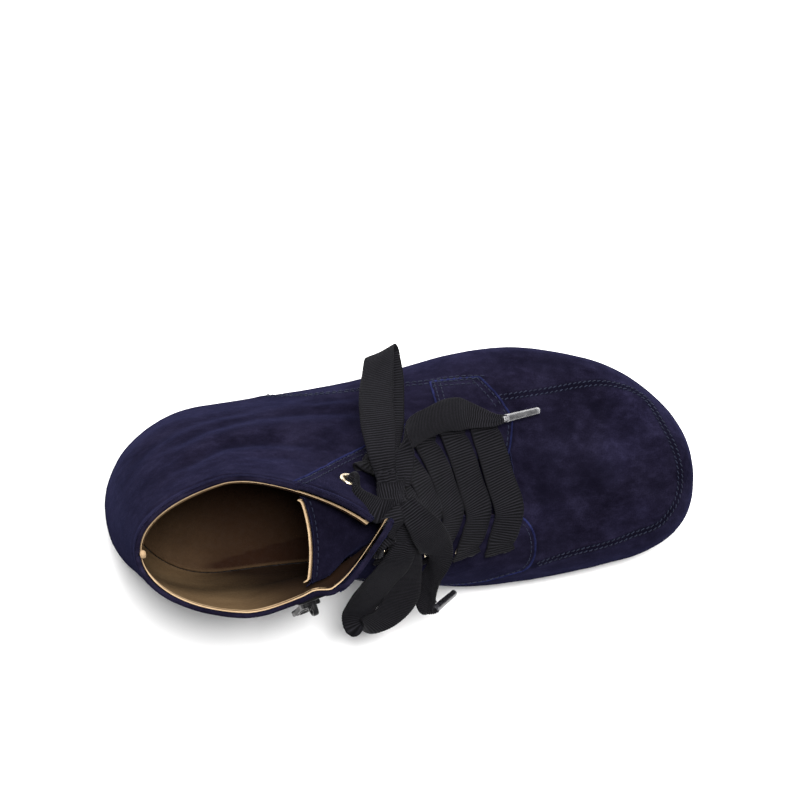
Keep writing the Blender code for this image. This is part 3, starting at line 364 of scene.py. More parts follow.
def noise3(p, cell, seed):
    """smooth value noise, -1 to 1"""
    tab = np.random.RandomState(seed).rand(4096) * 2 - 1
    q = p / cell
    i = np.floor(q).astype(np.int64)
    f = q - i
    f = f * f * (3 - 2 * f)
    out = 0
    for dx in (0, 1):
        for dy in (0, 1):
            for dz in (0, 1):
                h = tab[((i[..., 0] + dx) * 73856093 ^ (i[..., 1] + dy) * 19349663 ^ (i[..., 2] + dz) * 83492791) & 4095]
                out = out + h * (f[..., 0] if dx else 1 - f[..., 0]) * (f[..., 1] if dy else 1 - f[..., 1]) * (f[..., 2] if dz else 1 - f[..., 2])
    return out


def near_line(p, line, reach):
    """distance of points to a line, infinite beyond reach"""
    flat = p.reshape(-1, 3)
    d = np.full(len(flat), 1e3)
    lo, hi = line.min(0) - reach, line.max(0) + reach
    m = np.where(((flat > lo) & (flat < hi)).all(1))[0]
    for c in range(0, len(m), 4000):
        k = m[c:c + 4000]
        d[k] = np.sqrt(((flat[k][:, None] - line[None]) ** 2).sum(-1).min(1))
    return d.reshape(p.shape[:-1])


def inside(poly, x, y):
    hit = np.zeros(np.shape(x), bool)
    n = len(poly)
    for i in range(n):
        (x1, y1), (x2, y2) = poly[i], poly[(i + 1) % n]
        if y1 != y2:
            c = ((y1 > y) != (y2 > y)) & (x < (x2 - x1) * (y - y1) / (y2 - y1) + x1)
            hit ^= c
    return hit


# ------------------------------------------------------------------ mesh building
class Build:
    """collects points and faces in design mm and makes one mesh"""

    def __init__(self):
        self.v, self.q, self.t, self.n = [], [], [], 0
        self.tone, self.along, self.qm = [], [], []

    def add(self, pts, tone=0.0, along=None):
        pts = np.asarray(pts, float)
        idx = self.n + np.arange(pts.size // 3).reshape(pts.shape[:-1])
        self.v.append(pts.reshape(-1, 3))
        self.tone.append(np.broadcast_to(np.asarray(tone, float), pts.shape[:-1]).ravel())
        zero = np.zeros(pts.shape[:-1] + (2,)) if along is None else along
        self.along.append(zero.reshape(-1, 2))
        self.n += pts.size // 3
        return idx

    def grid(self, idx, ring=False, keep=None, mat=0, flip=False):
        a, b = idx[:-1], idx[1:]
        if ring:
            a2, b2 = np.roll(a, -1, 1), np.roll(b, -1, 1)
        else:
            a, a2, b, b2 = a[:, :-1], a[:, 1:], b[:, :-1], b[:, 1:]
        q = np.stack([a, a2, b2, b] if not flip else [a, b, b2, a2], -1).reshape(-1, 4)
        if keep is not None:
            q = q[keep.ravel()]
        self.q.append(q)
        self.qm.append(np.full(len(q), mat))

    def fan(self, ring_idx, flip=False, mat=0):
        """closes a ring with quads through a middle point"""
        k = np.asarray(ring_idx)
        v = np.concatenate(self.v)
        c = self.add(v[k].mean(0)[None], tone=float(np.concatenate(self.tone)[k].mean()))[0]
        nxt = np.roll(k, -1)
        q = np.stack([k, nxt, np.full(len(k), c), np.full(len(k), c)] if not flip else
                     [nxt, k, np.full(len(k), c), np.full(len(k), c)], -1)
        self.q.append(q)
        self.qm.append(np.full(len(q), mat))

    def make(self, name, mats, body="boot", merge=0.0, smooth=True, sharp=None):
        v = (np.concatenate(self.v) + OFF) / 1000.0
        q = np.concatenate(self.q)
        qm = np.concatenate(self.qm)
        tone, run = np.concatenate(self.tone), np.concatenate(self.along)
        if merge:
            key = np.round(v / (merge / 1000.0)).astype(np.int64)
            _, first, inv = np.unique(key, axis=0, return_index=True, return_inverse=True)
            inv = inv.ravel()
            v, tone, run, q = v[first], tone[first], run[first], inv[q]
        used = np.unique(q)
        new = -np.ones(len(v), np.int64)
        new[used] = np.arange(len(used))
        v, tone, run, q = v[used], tone[used], run[used], new[q]
        faces, fm = [], []
        for f, m in zip(q.tolist(), qm.tolist()):
            g = [f[0]]
            for i in f[1:]:
                if i != g[-1]:
                    g.append(i)
            if g[0] == g[-1]:
                g.pop()
            if len(g) >= 3 and len(set(g)) == len(g):
                faces.append(g)
                fm.append(m)
        me = bpy.data.meshes.new(name)
        me.from_pydata(v.tolist(), [], faces)
        me.polygons.foreach_set("material_index", fm)
        me.update()
        at = me.attributes.new("tone", "FLOAT", "POINT")
        at.data.foreach_set("value", tone.astype(np.float32))
        a2 = me.attributes.new("run", "FLOAT2", "POINT")
        a2.data.foreach_set("vector", run.astype(np.float32).ravel())
        for m in mats if isinstance(mats, (list, tuple)) else [mats]:
            me.materials.append(m)
        if smooth:
            me.shade_smooth()
        ob = bpy.data.objects.new(name, me)
        bpy.context.scene.collection.objects.link(ob)
        if sharp is not None:
            me.set_sharp_from_angle(angle=radians(sharp))
        if body:
            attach(ob, body)
        return ob


def tube(build, line, up, wide, high, tone=0.0, sides=8, mat=0, caps=True, flat=None):
    """closed tube along a line; wide across, high along up; sizes may vary along it"""
    line, up = np.asarray(line, float), np.asarray(up, float)
    n = len(line)
    tan = unit(np.gradient(line, axis=0))
    up = unit(up - (up * tan).sum(1)[:, None] * tan)
    side = np.cross(tan, up)
    w, h = np.broadcast_to(wide, n)[:, None, None], np.broadcast_to(high, n)[:, None, None]
    th = np.linspace(0, 2 * pi, sides, endpoint=False)
    c, s_ = np.cos(th), np.sin(th)
    if flat:
        c, s_ = np.sign(c) * abs(c) ** flat, np.sign(s_) * abs(s_) ** flat
    p = line[:, None] + side[:, None] * (c[None, :, None] * w) + up[:, None] * (s_[None, :, None] * h)
    idx = build.add(p, tone)
    build.grid(idx, ring=True, mat=mat, flip=True)
    if caps:
        build.fan(idx[0], flip=False, mat=mat)
        build.fan(idx[-1], flip=True, mat=mat)
    return idx


# ------------------------------------------------------------------ materials
class Mat:
    """a principled material with small helpers for its nodes"""

    def __init__(self, name, rough=0.6, metal=0.0, spec=0.5):
        self.m = bpy.data.materials.new(name)
        self.m.use_nodes = True
        self.nt = self.m.node_tree
        self.b = self.nt.nodes["Principled BSDF"]
        self.b.inputs["Roughness"].default_value = rough
        self.b.inputs["Metallic"].default_value = metal
        self.b.inputs["Specular IOR Level"].default_value = spec
        self.normal = None

    def link(self, a, b):
        self.nt.links.new(a, b)

    def coord(self, scale=(1, 1, 1), rot=(0, 0, 0)):
        tc = self.nt.nodes.new("ShaderNodeTexCoord")
        mp = self.nt.nodes.new("ShaderNodeMapping")
        mp.inputs["Scale"].default_value = scale
        mp.inputs["Rotation"].default_value = rot
        self.link(tc.outputs["Object"], mp.inputs["Vector"])
        return mp.outputs["Vector"]

    def noise(self, scale, detail=3.0, rough=0.55, vec=None, dist=0.0):
        n = self.nt.nodes.new("ShaderNodeTexNoise")
        n.inputs["Scale"].default_value = scale
        n.inputs["Detail"].default_value = detail
        n.inputs["Roughness"].default_value = rough
        n.inputs["Distortion"].default_value = dist
        self.link(vec if vec is not None else self.coord(), n.inputs["Vector"])
        return n.outputs["Fac"]

    def voronoi(self, scale, feature="F1", vec=None):
        n = self.nt.nodes.new("ShaderNodeTexVoronoi")
        n.feature = feature
        n.inputs["Scale"].default_value = scale
        self.link(vec if vec is not None else self.coord(), n.inputs["Vector"])
        return n.outputs["Distance"]

    def attr(self, name="tone"):
        n = self.nt.nodes.new("ShaderNodeAttribute")
        n.attribute_name = name
        return n.outputs["Fac"]

    def ramp(self, fac, stops):
        n = self.nt.nodes.new("ShaderNodeValToRGB")
        e = n.color_ramp.elements
        while len(e) > 1:
            e.remove(e[-1])
        e[0].position = stops[0][0]
        e[0].color = (*stops[0][1], 1)
        for at, c in stops[1:]:
            k = e.new(at)
            k.color = (*c, 1)
        self.link(fac, n.inputs["Fac"])
        return n.outputs["Color"]

    def mix(self, fac, a, b, mode="MIX"):
        n = self.nt.nodes.new("ShaderNodeMix")
        n.data_type = "RGBA"
        n.blend_type = mode
        for key, val in ((0, fac), (6, a), (7, b)):
            if isinstance(val, (int, float)):
                n.inputs[key].default_value = val
            elif isinstance(val, tuple):
                n.inputs[key].default_value = (*val, 1)
            else:
                self.link(val, n.inputs[key])
        return n.outputs[2]

    def math(self, op, a, b=0.0):
        n = self.nt.nodes.new("ShaderNodeMath")
        n.operation = op
        for key, val in ((0, a), (1, b)):
            if isinstance(val, (int, float)):
                n.inputs[key].default_value = val
            else:
                self.link(val, n.inputs[key])
        return n.outputs[0]

    def bump(self, height, strength, distance):
        n = self.nt.nodes.new("ShaderNodeBump")
        n.inputs["Strength"].default_value = strength
        n.inputs["Distance"].default_value = distance
        self.link(height, n.inputs["Height"])
        if self.normal is not None:
            self.link(self.normal, n.inputs["Normal"])
        self.normal = n.outputs["Normal"]
        return self

    def done(self, colour=None, rough=None):
        if colour is not None:
            self.link(colour, self.b.inputs["Base Color"])
        if rough is not None:
            self.link(rough, self.b.inputs["Roughness"])
        if self.normal is not None:
            self.link(self.normal, self.b.inputs["Normal"])
        return self.m

    def sheen(self, weight, rough, tint):
        self.b.inputs["Sheen Weight"].default_value = weight
        self.b.inputs["Sheen Roughness"].default_value = rough
        self.b.inputs["Sheen Tint"].default_value = (*tint, 1)
        return self


def suede(name, dark, mid, light, seam=(0.0022, 0.0019, 0.0045)):
    k = Mat(name, rough=0.97, spec=0.0).sheen(0.042, 0.45, (0.24, 0.26, 0.66))
    cloud = k.ramp(k.noise(75, 4, 0.6, dist=0.4), [(0.30, dark), (0.50, mid), (0.72, light)])
    nap = k.ramp(k.noise(260, 5, 0.65, vec=k.coord((1.0, 1.6, 1.3), (0, 0, 0.5))), [(0.32, tuple(c * 0.72 for c in dark)), (0.52, mid), (0.70, tuple(c * 1.25 for c in light))])
    c = k.mix(0.36, cloud, nap)
    broad = k.ramp(k.noise(24, 3, 0.5, dist=0.8), [(0.34, (0.70, 0.70, 0.72)), (0.50, (1.0, 1.0, 1.0)), (0.68, (1.30, 1.32, 1.42))])
    c = k.mix(0.9, c, broad, "MULTIPLY")
    fine = k.ramp(k.noise(2600, 3, 0.7), [(0.30, (0.66, 0.66, 0.68)), (0.70, (1.30, 1.30, 1.34))])
    c = k.mix(0.85, c, fine, "MULTIPLY")
    # the tone attribute darkens the suede towards this colour: painted shade in seam grooves, creases, at the collar's
    # fold and under panel edges, painted shade on the tongue and the turned-under strip, and darker clouds of the nap
    c = k.mix(k.attr("tone"), c, seam)
    k.bump(k.noise(420, 4, 0.6), 0.22, 0.0007)
    k.bump(k.noise(1900, 3, 0.7), 0.38, 0.00028)
    k.bump(k.noise(5200, 2, 0.7), 0.30, 0.00012)
    return k.done(c)


def leather(name, dark, light, grain=1500, rough=0.62, spec=0.14):
    k = Mat(name, rough=rough, spec=spec)
    c = k.ramp(k.noise(60, 4, 0.6), [(0.32, dark), (0.68, light)])
    c = k.mix(0.55, c, k.ramp(k.noise(900, 4, 0.65), [(0.3, (0.80, 0.78, 0.74)), (0.7, (1.12, 1.12, 1.1))]), "MULTIPLY")
    # the tone attribute darkens the leather towards this dark brown: painted shade inside the boot, and on the insole
    # also a darker patch at the heel
    c = k.mix(k.attr("tone"), c, (0.012, 0.0045, 0.0020))
    k.bump(k.voronoi(grain), 0.30, 0.00025)
    k.bump(k.noise(320, 4, 0.6), 0.20, 0.0006)
    return k.done(c, k.ramp(k.noise(500, 3), [(0.3, (rough - 0.08,) * 3), (0.7, (rough + 0.12,) * 3)]))


SUEDE = suede("suede_navy", (0.0028, 0.0023, 0.0052), (0.0062, 0.0053, 0.0118), (0.0116, 0.0103, 0.0220))
SUEDE_EDGE = suede("suede_edge", (0.0045, 0.0048, 0.0150), (0.0085, 0.0098, 0.0330), (0.0170, 0.0200, 0.0640))
# the lining's and the insole's tan leather are painted much darker as the shade inside the boot; the lining's edge is
# the same tan leather, painted as lit
LINING = leather("lining_tan", (0.140, 0.088, 0.044), (0.190, 0.124, 0.065))
LINING_LIT_EDGE = leather("lining_edge_lit", (0.30, 0.205, 0.120), (0.43, 0.310, 0.190), grain=2200)
INSOLE = leather("insole_tan", (0.034, 0.0195, 0.0100), (0.050, 0.030, 0.0160), grain=1700, rough=0.75, spec=0.05)


def thread_material():
    k = Mat("thread_navy", rough=0.7, spec=0.12).sheen(0.02, 0.4, (0.4, 0.5, 1.0))
    c = k.ramp(k.noise(700, 3), [(0.3, (0.004, 0.005, 0.012)), (0.7, (0.012, 0.0145, 0.030))])
    k.bump(k.noise(5200, 2), 0.4, 0.0001)
    return k.done(c)


def tan_thread_material():
    k = Mat("thread_tan", rough=0.6, spec=0.3)
    c = k.ramp(k.noise(700, 3), [(0.3, (0.42, 0.30, 0.18)), (0.7, (0.62, 0.47, 0.30))])
    k.bump(k.noise(5200, 2), 0.4, 0.0001)
    return k.done(c)


def ribbon_material():
    k = Mat("ribbon_black", rough=0.80, spec=0.07).sheen(0.018, 0.4, (0.6, 0.6, 0.75))
    # the tone attribute carries the ribs' painted light and shade
    c = k.ramp(k.attr("tone"), [(0.0, (0.0006, 0.0006, 0.0008)), (0.5, (0.0030, 0.0029, 0.0038)), (1.0, (0.0125, 0.0120, 0.0150))])
    c = k.mix(0.8, c, k.ramp(k.noise(4200, 3, 0.7), [(0.3, (0.65, 0.65, 0.66)), (0.72, (1.5, 1.5, 1.5))]), "MULTIPLY")
    c = k.mix(0.5, c, k.ramp(k.noise(220, 3, 0.6), [(0.3, (0.75, 0.75, 0.76)), (0.7, (1.2, 1.2, 1.22))]), "MULTIPLY")
    k.bump(k.noise(5200, 2, 0.7), 0.35, 0.00010)
    return k.done(c)


def brass_material():
    k = Mat("eyelet_brass", metal=1.0)
    c = k.ramp(k.noise(700, 4, 0.6), [(0.3, (0.62, 0.50, 0.33)), (0.7, (0.86, 0.76, 0.58))])
    k.bump(k.noise(2500, 3), 0.12, 0.00008)
    return k.done(c, k.ramp(k.noise(1500, 4, 0.7), [(0.3, (0.16,) * 3), (0.7, (0.42,) * 3)]))


def black_metal_material():
    k = Mat("zip_metal_black", spec=0.12)
    c = k.ramp(k.noise(900, 4, 0.6), [(0.3, (0.003, 0.003, 0.0033)), (0.7, (0.008, 0.008, 0.009))])
    c = k.mix(k.attr("tone"), c, (0.03, 0.029, 0.028))
    k.bump(k.noise(2400, 3), 0.15, 0.00008)
    return k.done(c, k.ramp(k.noise(1600, 4, 0.7), [(0.3, (0.26,) * 3), (0.7, (0.46,) * 3)]))


def nylon_material():
    k = Mat("zip_nylon", rough=0.4, spec=0.5)
    c = k.ramp(k.noise(1500, 3), [(0.3, (0.006, 0.006, 0.007)), (0.7, (0.016, 0.016, 0.018))])
    k.bump(k.noise(3800, 3), 0.35, 0.0001)
    return k.done(c, k.ramp(k.noise(1100, 3), [(0.3, (0.30,) * 3), (0.7, (0.50,) * 3)]))


def tape_material():
    k = Mat("zip_tape_cloth", rough=0.85, spec=0.2).sheen(0.1, 0.4, (0.6, 0.6, 0.8))
    c = k.ramp(k.noise(1800, 3), [(0.3, (0.006, 0.006, 0.010)), (0.7, (0.018, 0.018, 0.028))])
    k.bump(k.voronoi(2600), 0.6, 0.0002)
    return k.done(c)


def rubber_material():
    k = Mat("rubber_dark", rough=0.62, spec=0.2)
    c = k.ramp(k.noise(180, 4, 0.6), [(0.3, (0.0085, 0.0085, 0.0105)), (0.7, (0.0160, 0.0158, 0.0190))])
    c = k.mix(0.5, c, k.ramp(k.noise(2100, 3, 0.7), [(0.3, (0.75, 0.75, 0.75)), (0.72, (1.35, 1.33, 1.3))]), "MULTIPLY")
    c = k.mix(k.attr("tone"), c, (0.045, 0.043, 0.042))
    k.bump(k.noise(1600, 4, 0.65), 0.30, 0.0002)
    k.bump(k.noise(240, 3, 0.5), 0.15, 0.0005)
    return k.done(c, k.ramp(k.noise(600, 3), [(0.3, (0.5,) * 3), (0.7, (0.75,) * 3)]))


def aglet_material(name, dark, light, clear):
    k = Mat(name, rough=0.22, spec=0.6)
    k.b.inputs["Transmission Weight"].default_value = clear
    c = k.ramp(k.noise(500, 4, 0.65, vec=k.coord((1, 1, 1))), [(0.3, dark), (0.7, light)])
    c = k.mix(k.attr("tone"), c, tuple(min(1.0, v * 2.2) for v in light))
    k.bump(k.noise(900, 3), 0.25, 0.0002)
    return k.done(c, k.ramp(k.noise(900, 3), [(0.3, (0.16,) * 3), (0.7, (0.34,) * 3)]))


THREAD, TAN_THREAD, RIBBON = thread_material(), tan_thread_material(), ribbon_material()
BRASS, BLACK_METAL, NYLON, TAPE = brass_material(), black_metal_material(), nylon_material(), tape_material()
RUBBER = rubber_material()
AGLET_GREY = aglet_material("aglet_grey", (0.022, 0.022, 0.024), (0.085, 0.085, 0.088), 0.12)
AGLET_DARK = aglet_material("aglet_dark", (0.004, 0.004, 0.005), (0.014, 0.014, 0.016), 0.05)


# ------------------------------------------------------------------ camera, light, floor
def look_from(c3, c4, c5):
    def rot(a, ax):
        m = np.eye(3)
        i, j = [(1, 2), (2, 0), (0, 1)][ax]
        m[i, i] = m[j, j] = cos(a)
        m[i, j], m[j, i] = -sin(a), sin(a)
        return m
    return rot(c3, 2) @ rot(c4, 0) @ rot(c5, 1)


def stage():
    view = look_from(0.08651, 0.11772, -0.01534)
    cam = bpy.data.cameras.new("camera")
    cam.lens, cam.sensor_width, cam.clip_end = 146.57, 36.0, 20.0
    ob = bpy.data.objects.new("camera", cam)
    m = Matrix(view.T.tolist()).to_4x4()
    m.translation = Vector(((np.array([107.126, 141.894, 1015.305]) + OFF) / 1000).tolist())
    ob.matrix_world = m
    bpy.context.scene.collection.objects.link(ob)
    bpy.context.scene.camera = ob

    k = Mat("floor_white", rough=0.9, spec=0.1)
    c = k.ramp(k.noise(6, 3), [(0.3, (0.93, 0.93, 0.935)), (0.7, (0.95, 0.95, 0.955))])
    k.bump(k.noise(300, 3), 0.05, 0.0003)
    floor_mat = k.done(c)
    me = bpy.data.meshes.new("floor")
    n, half = 12, 3.0
    pts = [(-half + 2 * half * i / n, -half + 2 * half * j / n, -0.0002) for i in range(n + 1) for j in range(n + 1)]
    me.from_pydata(pts, [], [(i * (n + 1) + j, (i + 1) * (n + 1) + j, (i + 1) * (n + 1) + j + 1, i * (n + 1) + j + 1) for i in range(n) for j in range(n)])
    me.materials.append(floor_mat)
    floor = bpy.data.objects.new("floor", me)
    bpy.context.scene.collection.objects.link(floor)

    def area(name, size, at, target, power, colour=(1, 1, 1)):
        li = bpy.data.lights.new(name, "AREA")
        li.shape, li.size, li.energy, li.color = "DISK", size, power, colour
        o = bpy.data.objects.new(name, li)
        o.location = at
        o.rotation_euler = (Vector(target) - Vector(at)).to_track_quat("-Z", "Y").to_euler()
        bpy.context.scene.collection.objects.link(o)
    area("key", 0.5, (0.18, 0.47, 1.80), (0, 0, 0.03), 72, (1.0, 0.995, 0.985))
    area("side", 0.9, (0.30, 1.45, 1.05), (0, 0, 0.03), 22)
    area("fill", 1.2, (0.7, -1.2, 1.0), (0, 0, 0.04), 2.2, (0.96, 0.98, 1.0))
    w = bpy.data.worlds.new("studio")
    bpy.context.scene.world = w
    w.use_nodes = True
    bg = w.node_tree.nodes["Background"]
    bg.inputs["Color"].default_value = (1, 1, 1, 1)
    bg.inputs["Strength"].default_value = 0.22
    vs = bpy.context.scene.view_settings
    vs.view_transform = "Standard"
    vs.look = "None"


stage()


# ------------------------------------------------------------------ seams, panels and creases of the upper
def surface_line(points, step, side=None, smooth=True):
    """line on the upper through points near it: sides, s, a, points, normals"""
    line = through(points, step) if smooth else polyline(points, step)
    return on_upper(line, side)


_apron_lat = [(0.409, 26.5), (0.352, 27.1), (0.296, 28.5), (0.264, 28.9), (0.239, 28.4), (0.214, 27.3),
              (0.182, 24.2), (0.164, 19.2), (0.145, 13.0), (0.126, 6.9)]
_apron_med = [(0.119, 5.0), (0.132, 9.4), (0.151, 13.4), (0.176, 17.2), (0.220, 19.9), (0.258, 22.3),
              (0.314, 25.1), (0.346, 27.3), (0.377, 31.1)]
_al = surf(0, [v[0] for v in _apron_lat], [v[1] for v in _apron_lat])[0]
_am = surf(1, [v[0] for v in _apron_med], [v[1] for v in _apron_med])[0]
APRON = surface_line(np.concatenate([_al, _am]), 0.95)
QUARTER_LAT = surface_line([(118.5, 30.4, 33.4), (109, 30.9, 33.6), (100.7, 30.4, 34.6), (83.5, 30.0, 32.4), (67.9, 29.2, 31.0), (58.6, 28.9, 25.5), (50, 28.4, 18.5)], 0.95, 0)
_front_lat = [(125.2, 17.3, 41.7), (124.9, 14.6, 43.0), (124.3, 11.6, 44.1), (123.2, 8.0, 45.4)]
FACING_LAT = [   # corner to corner
    [(60.5, 12.0, 98.0), (63.8, 12.5, 90.7), (71.1, 14.0, 76.4), (79.8, 16.2, 66.5), (91.5, 20.0, 55.0), (103.0, 24.0, 45.0)],
    [(103.0, 24.0, 45.0), (101.6, 30.1, 35.1)],
    [(101.6, 30.1, 35.1), (109.6, 30.6, 34.2), (116.5, 30.5, 33.2)],
    [(116.5, 30.5, 33.2), (120.2, 26.0, 36.6), (123.5, 21.5, 40.0)],
    [(123.5, 21.5, 40.0), (124.9, 19.4, 41.0)] + _front_lat,
]
FACING_MED = [
    [(123.6, -10.6, 44.9), (126.2, -12.0, 43.6), (128.1, -14.6, 42.0), (129.2, -18.4, 39.9), (129.2, -22.5, 37.4), (128.0, -26.6, 34.4), (124.8, -29.8, 31.2)],
    [(124.8, -29.8, 31.2), (118.0, -31.6, 30.2), (107.0, -32.3, 30.1), (98.0, -31.6, 31.0), (88.0, -30.4, 32.5), (76.0, -29.6, 34.6)],
    [(76.0, -29.6, 34.6), (71.5, -28.6, 46.0), (69.8, -27.4, 60.0), (70.4, -25.2, 80.0), (72.6, -21.6, 99.0)],
]


def panel(segments, side, tail):
    """outline of a panel: its edge lines on the upper and its region in s and a"""
    lines = [surface_line(seg, 0.8, side) for seg in segments]
    sa = [(s * 150.0, a) for ln in lines for s, a in zip(ln[1], ln[2])]
    return lines, sa + [(s * 150.0, a) for s, a in tail]


LAT_LINES, LAT_REGION = panel(FACING_LAT, 0, [(0.39, -5.0), (2.1, -5.0), (2.1, 24.5)])
MED_LINES, MED_REGION = panel(FACING_MED, 1, [(2.1, 20.0), (2.1, -5.0), (0.38, -5.0)])
LAT_EDGE = np.concatenate([ln[3] for ln in LAT_LINES])
MED_EDGE = np.concatenate([ln[3] for ln in MED_LINES])


def wall_line(side, xz):
    return through([(x, wall_point(side, x, z), z) for x, z in xz], 0.8)


# side, points (x, z), depth (+ in, - out), width
FOLDS = [
    (0, [(26, 84), (38, 74), (54, 68), (70, 66)], 0.75, 3.6),
    (0, [(24, 73), (38, 64), (56, 58), (76, 57)], -0.55, 4.6),
    (0, [(22, 66), (36, 55), (54, 49), (74, 48), (88, 47)], 0.60, 3.8),
    (0, [(10, 62), (22, 52), (36, 44), (52, 40)], 0.45, 4.0),
    (0, [(8, 52), (18, 42), (30, 34)], -0.35, 4.5),
    (0, [(46, 84), (56, 78), (66, 76)], 0.40, 3.0),
    (0, [(60, 40), (78, 38), (94, 40)], 0.35, 3.2),
    (0, [(120, 27), (134, 25), (150, 23)], 0.35, 3.6),
    (1, [(22, 80), (34, 70), (44, 66)], 0.65, 3.8),
    (1, [(20, 68), (32, 58), (42, 54)], -0.45, 4.2),
    (1, [(12, 56), (26, 46), (38, 42)], 0.50, 3.6),
    (1, [(58, 62), (72, 52), (88, 46)], 0.60, 3.6),
    (1, [(58, 48), (74, 42), (92, 38)], 0.45, 3.4),
    (1, [(70, 74), (78, 66), (84, 62)], -0.35, 3.4),
    (1, [(112, 26), (130, 23), (148, 21)], 0.35, 3.4),
]
FOLD_LINES = [(side, wall_line(side, xz), depth, width) for side, xz, depth, width in FOLDS]
# soft dents of the vamp: x, y, radius x, radius y, depth
DENTS = [(131, 3, 9, 13, 0.55), (141, -6, 8, 10, 0.40), (150, 10, 10, 9, -0.28), (158, -8, 9, 9, -0.25),
         (137, 17, 8, 7, 0.30), (147, -17, 9, 6, 0.25), (163, 4, 6, 8, 0.22)]
# darker clouds of the nap: x, y, z, radius, strength
BLOTCHES = [(133, 2, 42, 9, 0.34), (146, -1, 38, 8.5, 0.36), (152, -4, 37, 6, 0.22), (147, 22, 36, 6, 0.50), (141, 14, 38, 5, 0.35),
            (136, -11, 39, 5, 0.30), (168, -9, 30, 6, 0.30), (160, 12, 34, 6, 0.22), (128, -4, 43, 5, 0.30), (153, 17, 33, 5, 0.35),
            (58, 24, 52, 9, 0.30), (30, 22, 60, 8, 0.26), (44, 21, 70, 7, 0.22), (80, 22, 52, 8, 0.30), (118, 34, 26, 9, 0.28),
            (96, 34, 30, 8, 0.22), (12, 12, 60, 9, 0.28), (140, 33, 22, 8, 0.22), (70, 25, 62, 6, 0.20), (110, -30, 30, 8, 0.3), (22, 18, 42, 9, 0.25)]


def relief(side, s, a, p):
    """height of the suede over its smooth form, and its tone, at points of one side; the tone is darker nap clouds and
    painted shade in seams, creases, at the collar's fold and under panel edges
    """
    h = 0.22 * noise3(p, 17.0, 3) + 0.12 * noise3(p, 8.0, 5) + 0.045 * noise3(p, 3.2, 7)
    tone = np.zeros(p.shape[:-1])
    line = APRON[3][1:-1]
    d = near_line(p, APRON[3], 7.0)
    h = h + 0.55 * np.exp(-(d / 2.3) ** 2) - 0.30 * np.exp(-((d - 0.78) / 0.38) ** 2) - 0.26 * np.exp(-(d / 0.32) ** 2)
    # painted shade along the apron seam's groove
    tone = np.maximum(tone, 0.72 * np.exp(-(np.maximum(d - 0.75, 0) / 0.55) ** 2))
    fold = 0.0
    for k, ln, depth, width in FOLD_LINES:
        if k == side:
            dd = near_line(p, ln, 3 * width)
            ends = np.minimum(np.sqrt(((p - ln[0]) ** 2).sum(-1)), np.sqrt(((p - ln[-1]) ** 2).sum(-1)))
            taper = smoothstep(ends, 0.0, 9.0)
            h = h - 1.35 * depth * taper * np.exp(-(dd / width) ** 2)
            # folds that sink in are painted darker along their hollow as shade
            if depth > 0:
                tone = tone + 0.16 * taper * np.exp(-(dd / (0.8 * width)) ** 2)
    top = p[..., 2] > 30
    for x, y, rx, ry, depth in DENTS:
        h = h - depth * np.exp(-((p[..., 0] - x) / rx) ** 2 - ((p[..., 1] - y) / ry) ** 2) * top
    warp = 4.2 * noise3(p, 9.0, 21) + 2.0 * noise3(p, 3.6, 22)
    for x, y, z, r, k in BLOTCHES:
        dd = np.sqrt(((p - np.array([x, y, z])) ** 2).sum(-1)) + warp
        tone = tone + k * (1 - smoothstep(dd, 0.35 * r, 1.15 * r))
    # panels lie on top of the vamp and quarters
    region, edge = (LAT_REGION, LAT_EDGE) if side == 0 else (MED_REGION, MED_EDGE)
    hit = inside(region, s * 150.0, a)
    d = near_line(p, edge, 3.0)
    step = np.where(hit, smoothstep(d, -0.35, 0.45), -smoothstep(d, -0.35, 0.45))
    h = h + 0.30 * (np.where(d > 2.9, np.where(hit, 1.0, -1.0), step) + 1)
    # painted shadow on the suede just outside each panel's edge, and lighter painted shade on the panel's own edge
    tone = np.maximum(tone, np.where(hit, 0.15, 0.6) * np.exp(-(d / 0.7) ** 2))
    if side == 0:
        d = near_line(p, QUARTER_LAT[3], 5.0)
        h = h + 0.30 * np.exp(-(d / 2.0) ** 2) - 0.35 * np.exp(-(d / 0.5) ** 2)
        # painted shade along the quarter's seam groove
        tone = np.maximum(tone, 0.5 * np.exp(-(d / 0.6) ** 2))
    # the collar: a turned edge with its fold line, the fold line painted darker as shade
    c = 1.0 * (2 - s) * 83.0 * np.clip(a / 50.0, 0.35, 1.0)
    h = h + 0.28 * np.exp(-((c - 1.7) / 1.5) ** 2) - 0.34 * np.exp(-((c - 4.4) / 0.8) ** 2)
    tone = np.maximum(tone, 0.35 * np.exp(-((c - 4.4) / 0.9) ** 2))
    # the side swells a little over the sole
    low = p[..., 2] - feather_z(np.clip(p[..., 0], 0, 181))
    h = h * smoothstep(low, -0.5, 3.0) + 0.25 * np.exp(-((low - 3.5) / 2.5) ** 2)
    return h, np.clip(tone, 0, 0.9)


def lifted(where, height):
    """points of a surface line put on the suede at a height over it"""
    sides, s, a, p, n = where
    out = np.zeros_like(p)
    for k in (0, 1):
        m = sides == k
        if m.any():
            h, _ = relief(k, s[m], a[m], p[m])
            out[m] = p[m] + n[m] * (h + (height[m] if np.ndim(height) else height))[:, None]
    return out


def moved(where, by):
    """a surface line moved sideways along the surface, to the left of its way"""
    sides, s, a, p, n = where
    tan = unit(np.gradient(p, axis=0))
    return on_upper(p + np.cross(n, tan) * by, None)


# the zip's middle line
def zip_frame():
    top, n1 = wall_frame(1, ZIP_TOP[0], 96.0)
    bottom, n2 = wall_frame(1, *ZIP_BOTTOM)
    up = unit(top - bottom)
    out = n1 + n2
    out = unit(out - up * (out @ up))
    return dict(collar=top, bottom=bottom, up=up, out=out, across=unit(np.cross(up, out)))


ZIP = zip_frame()


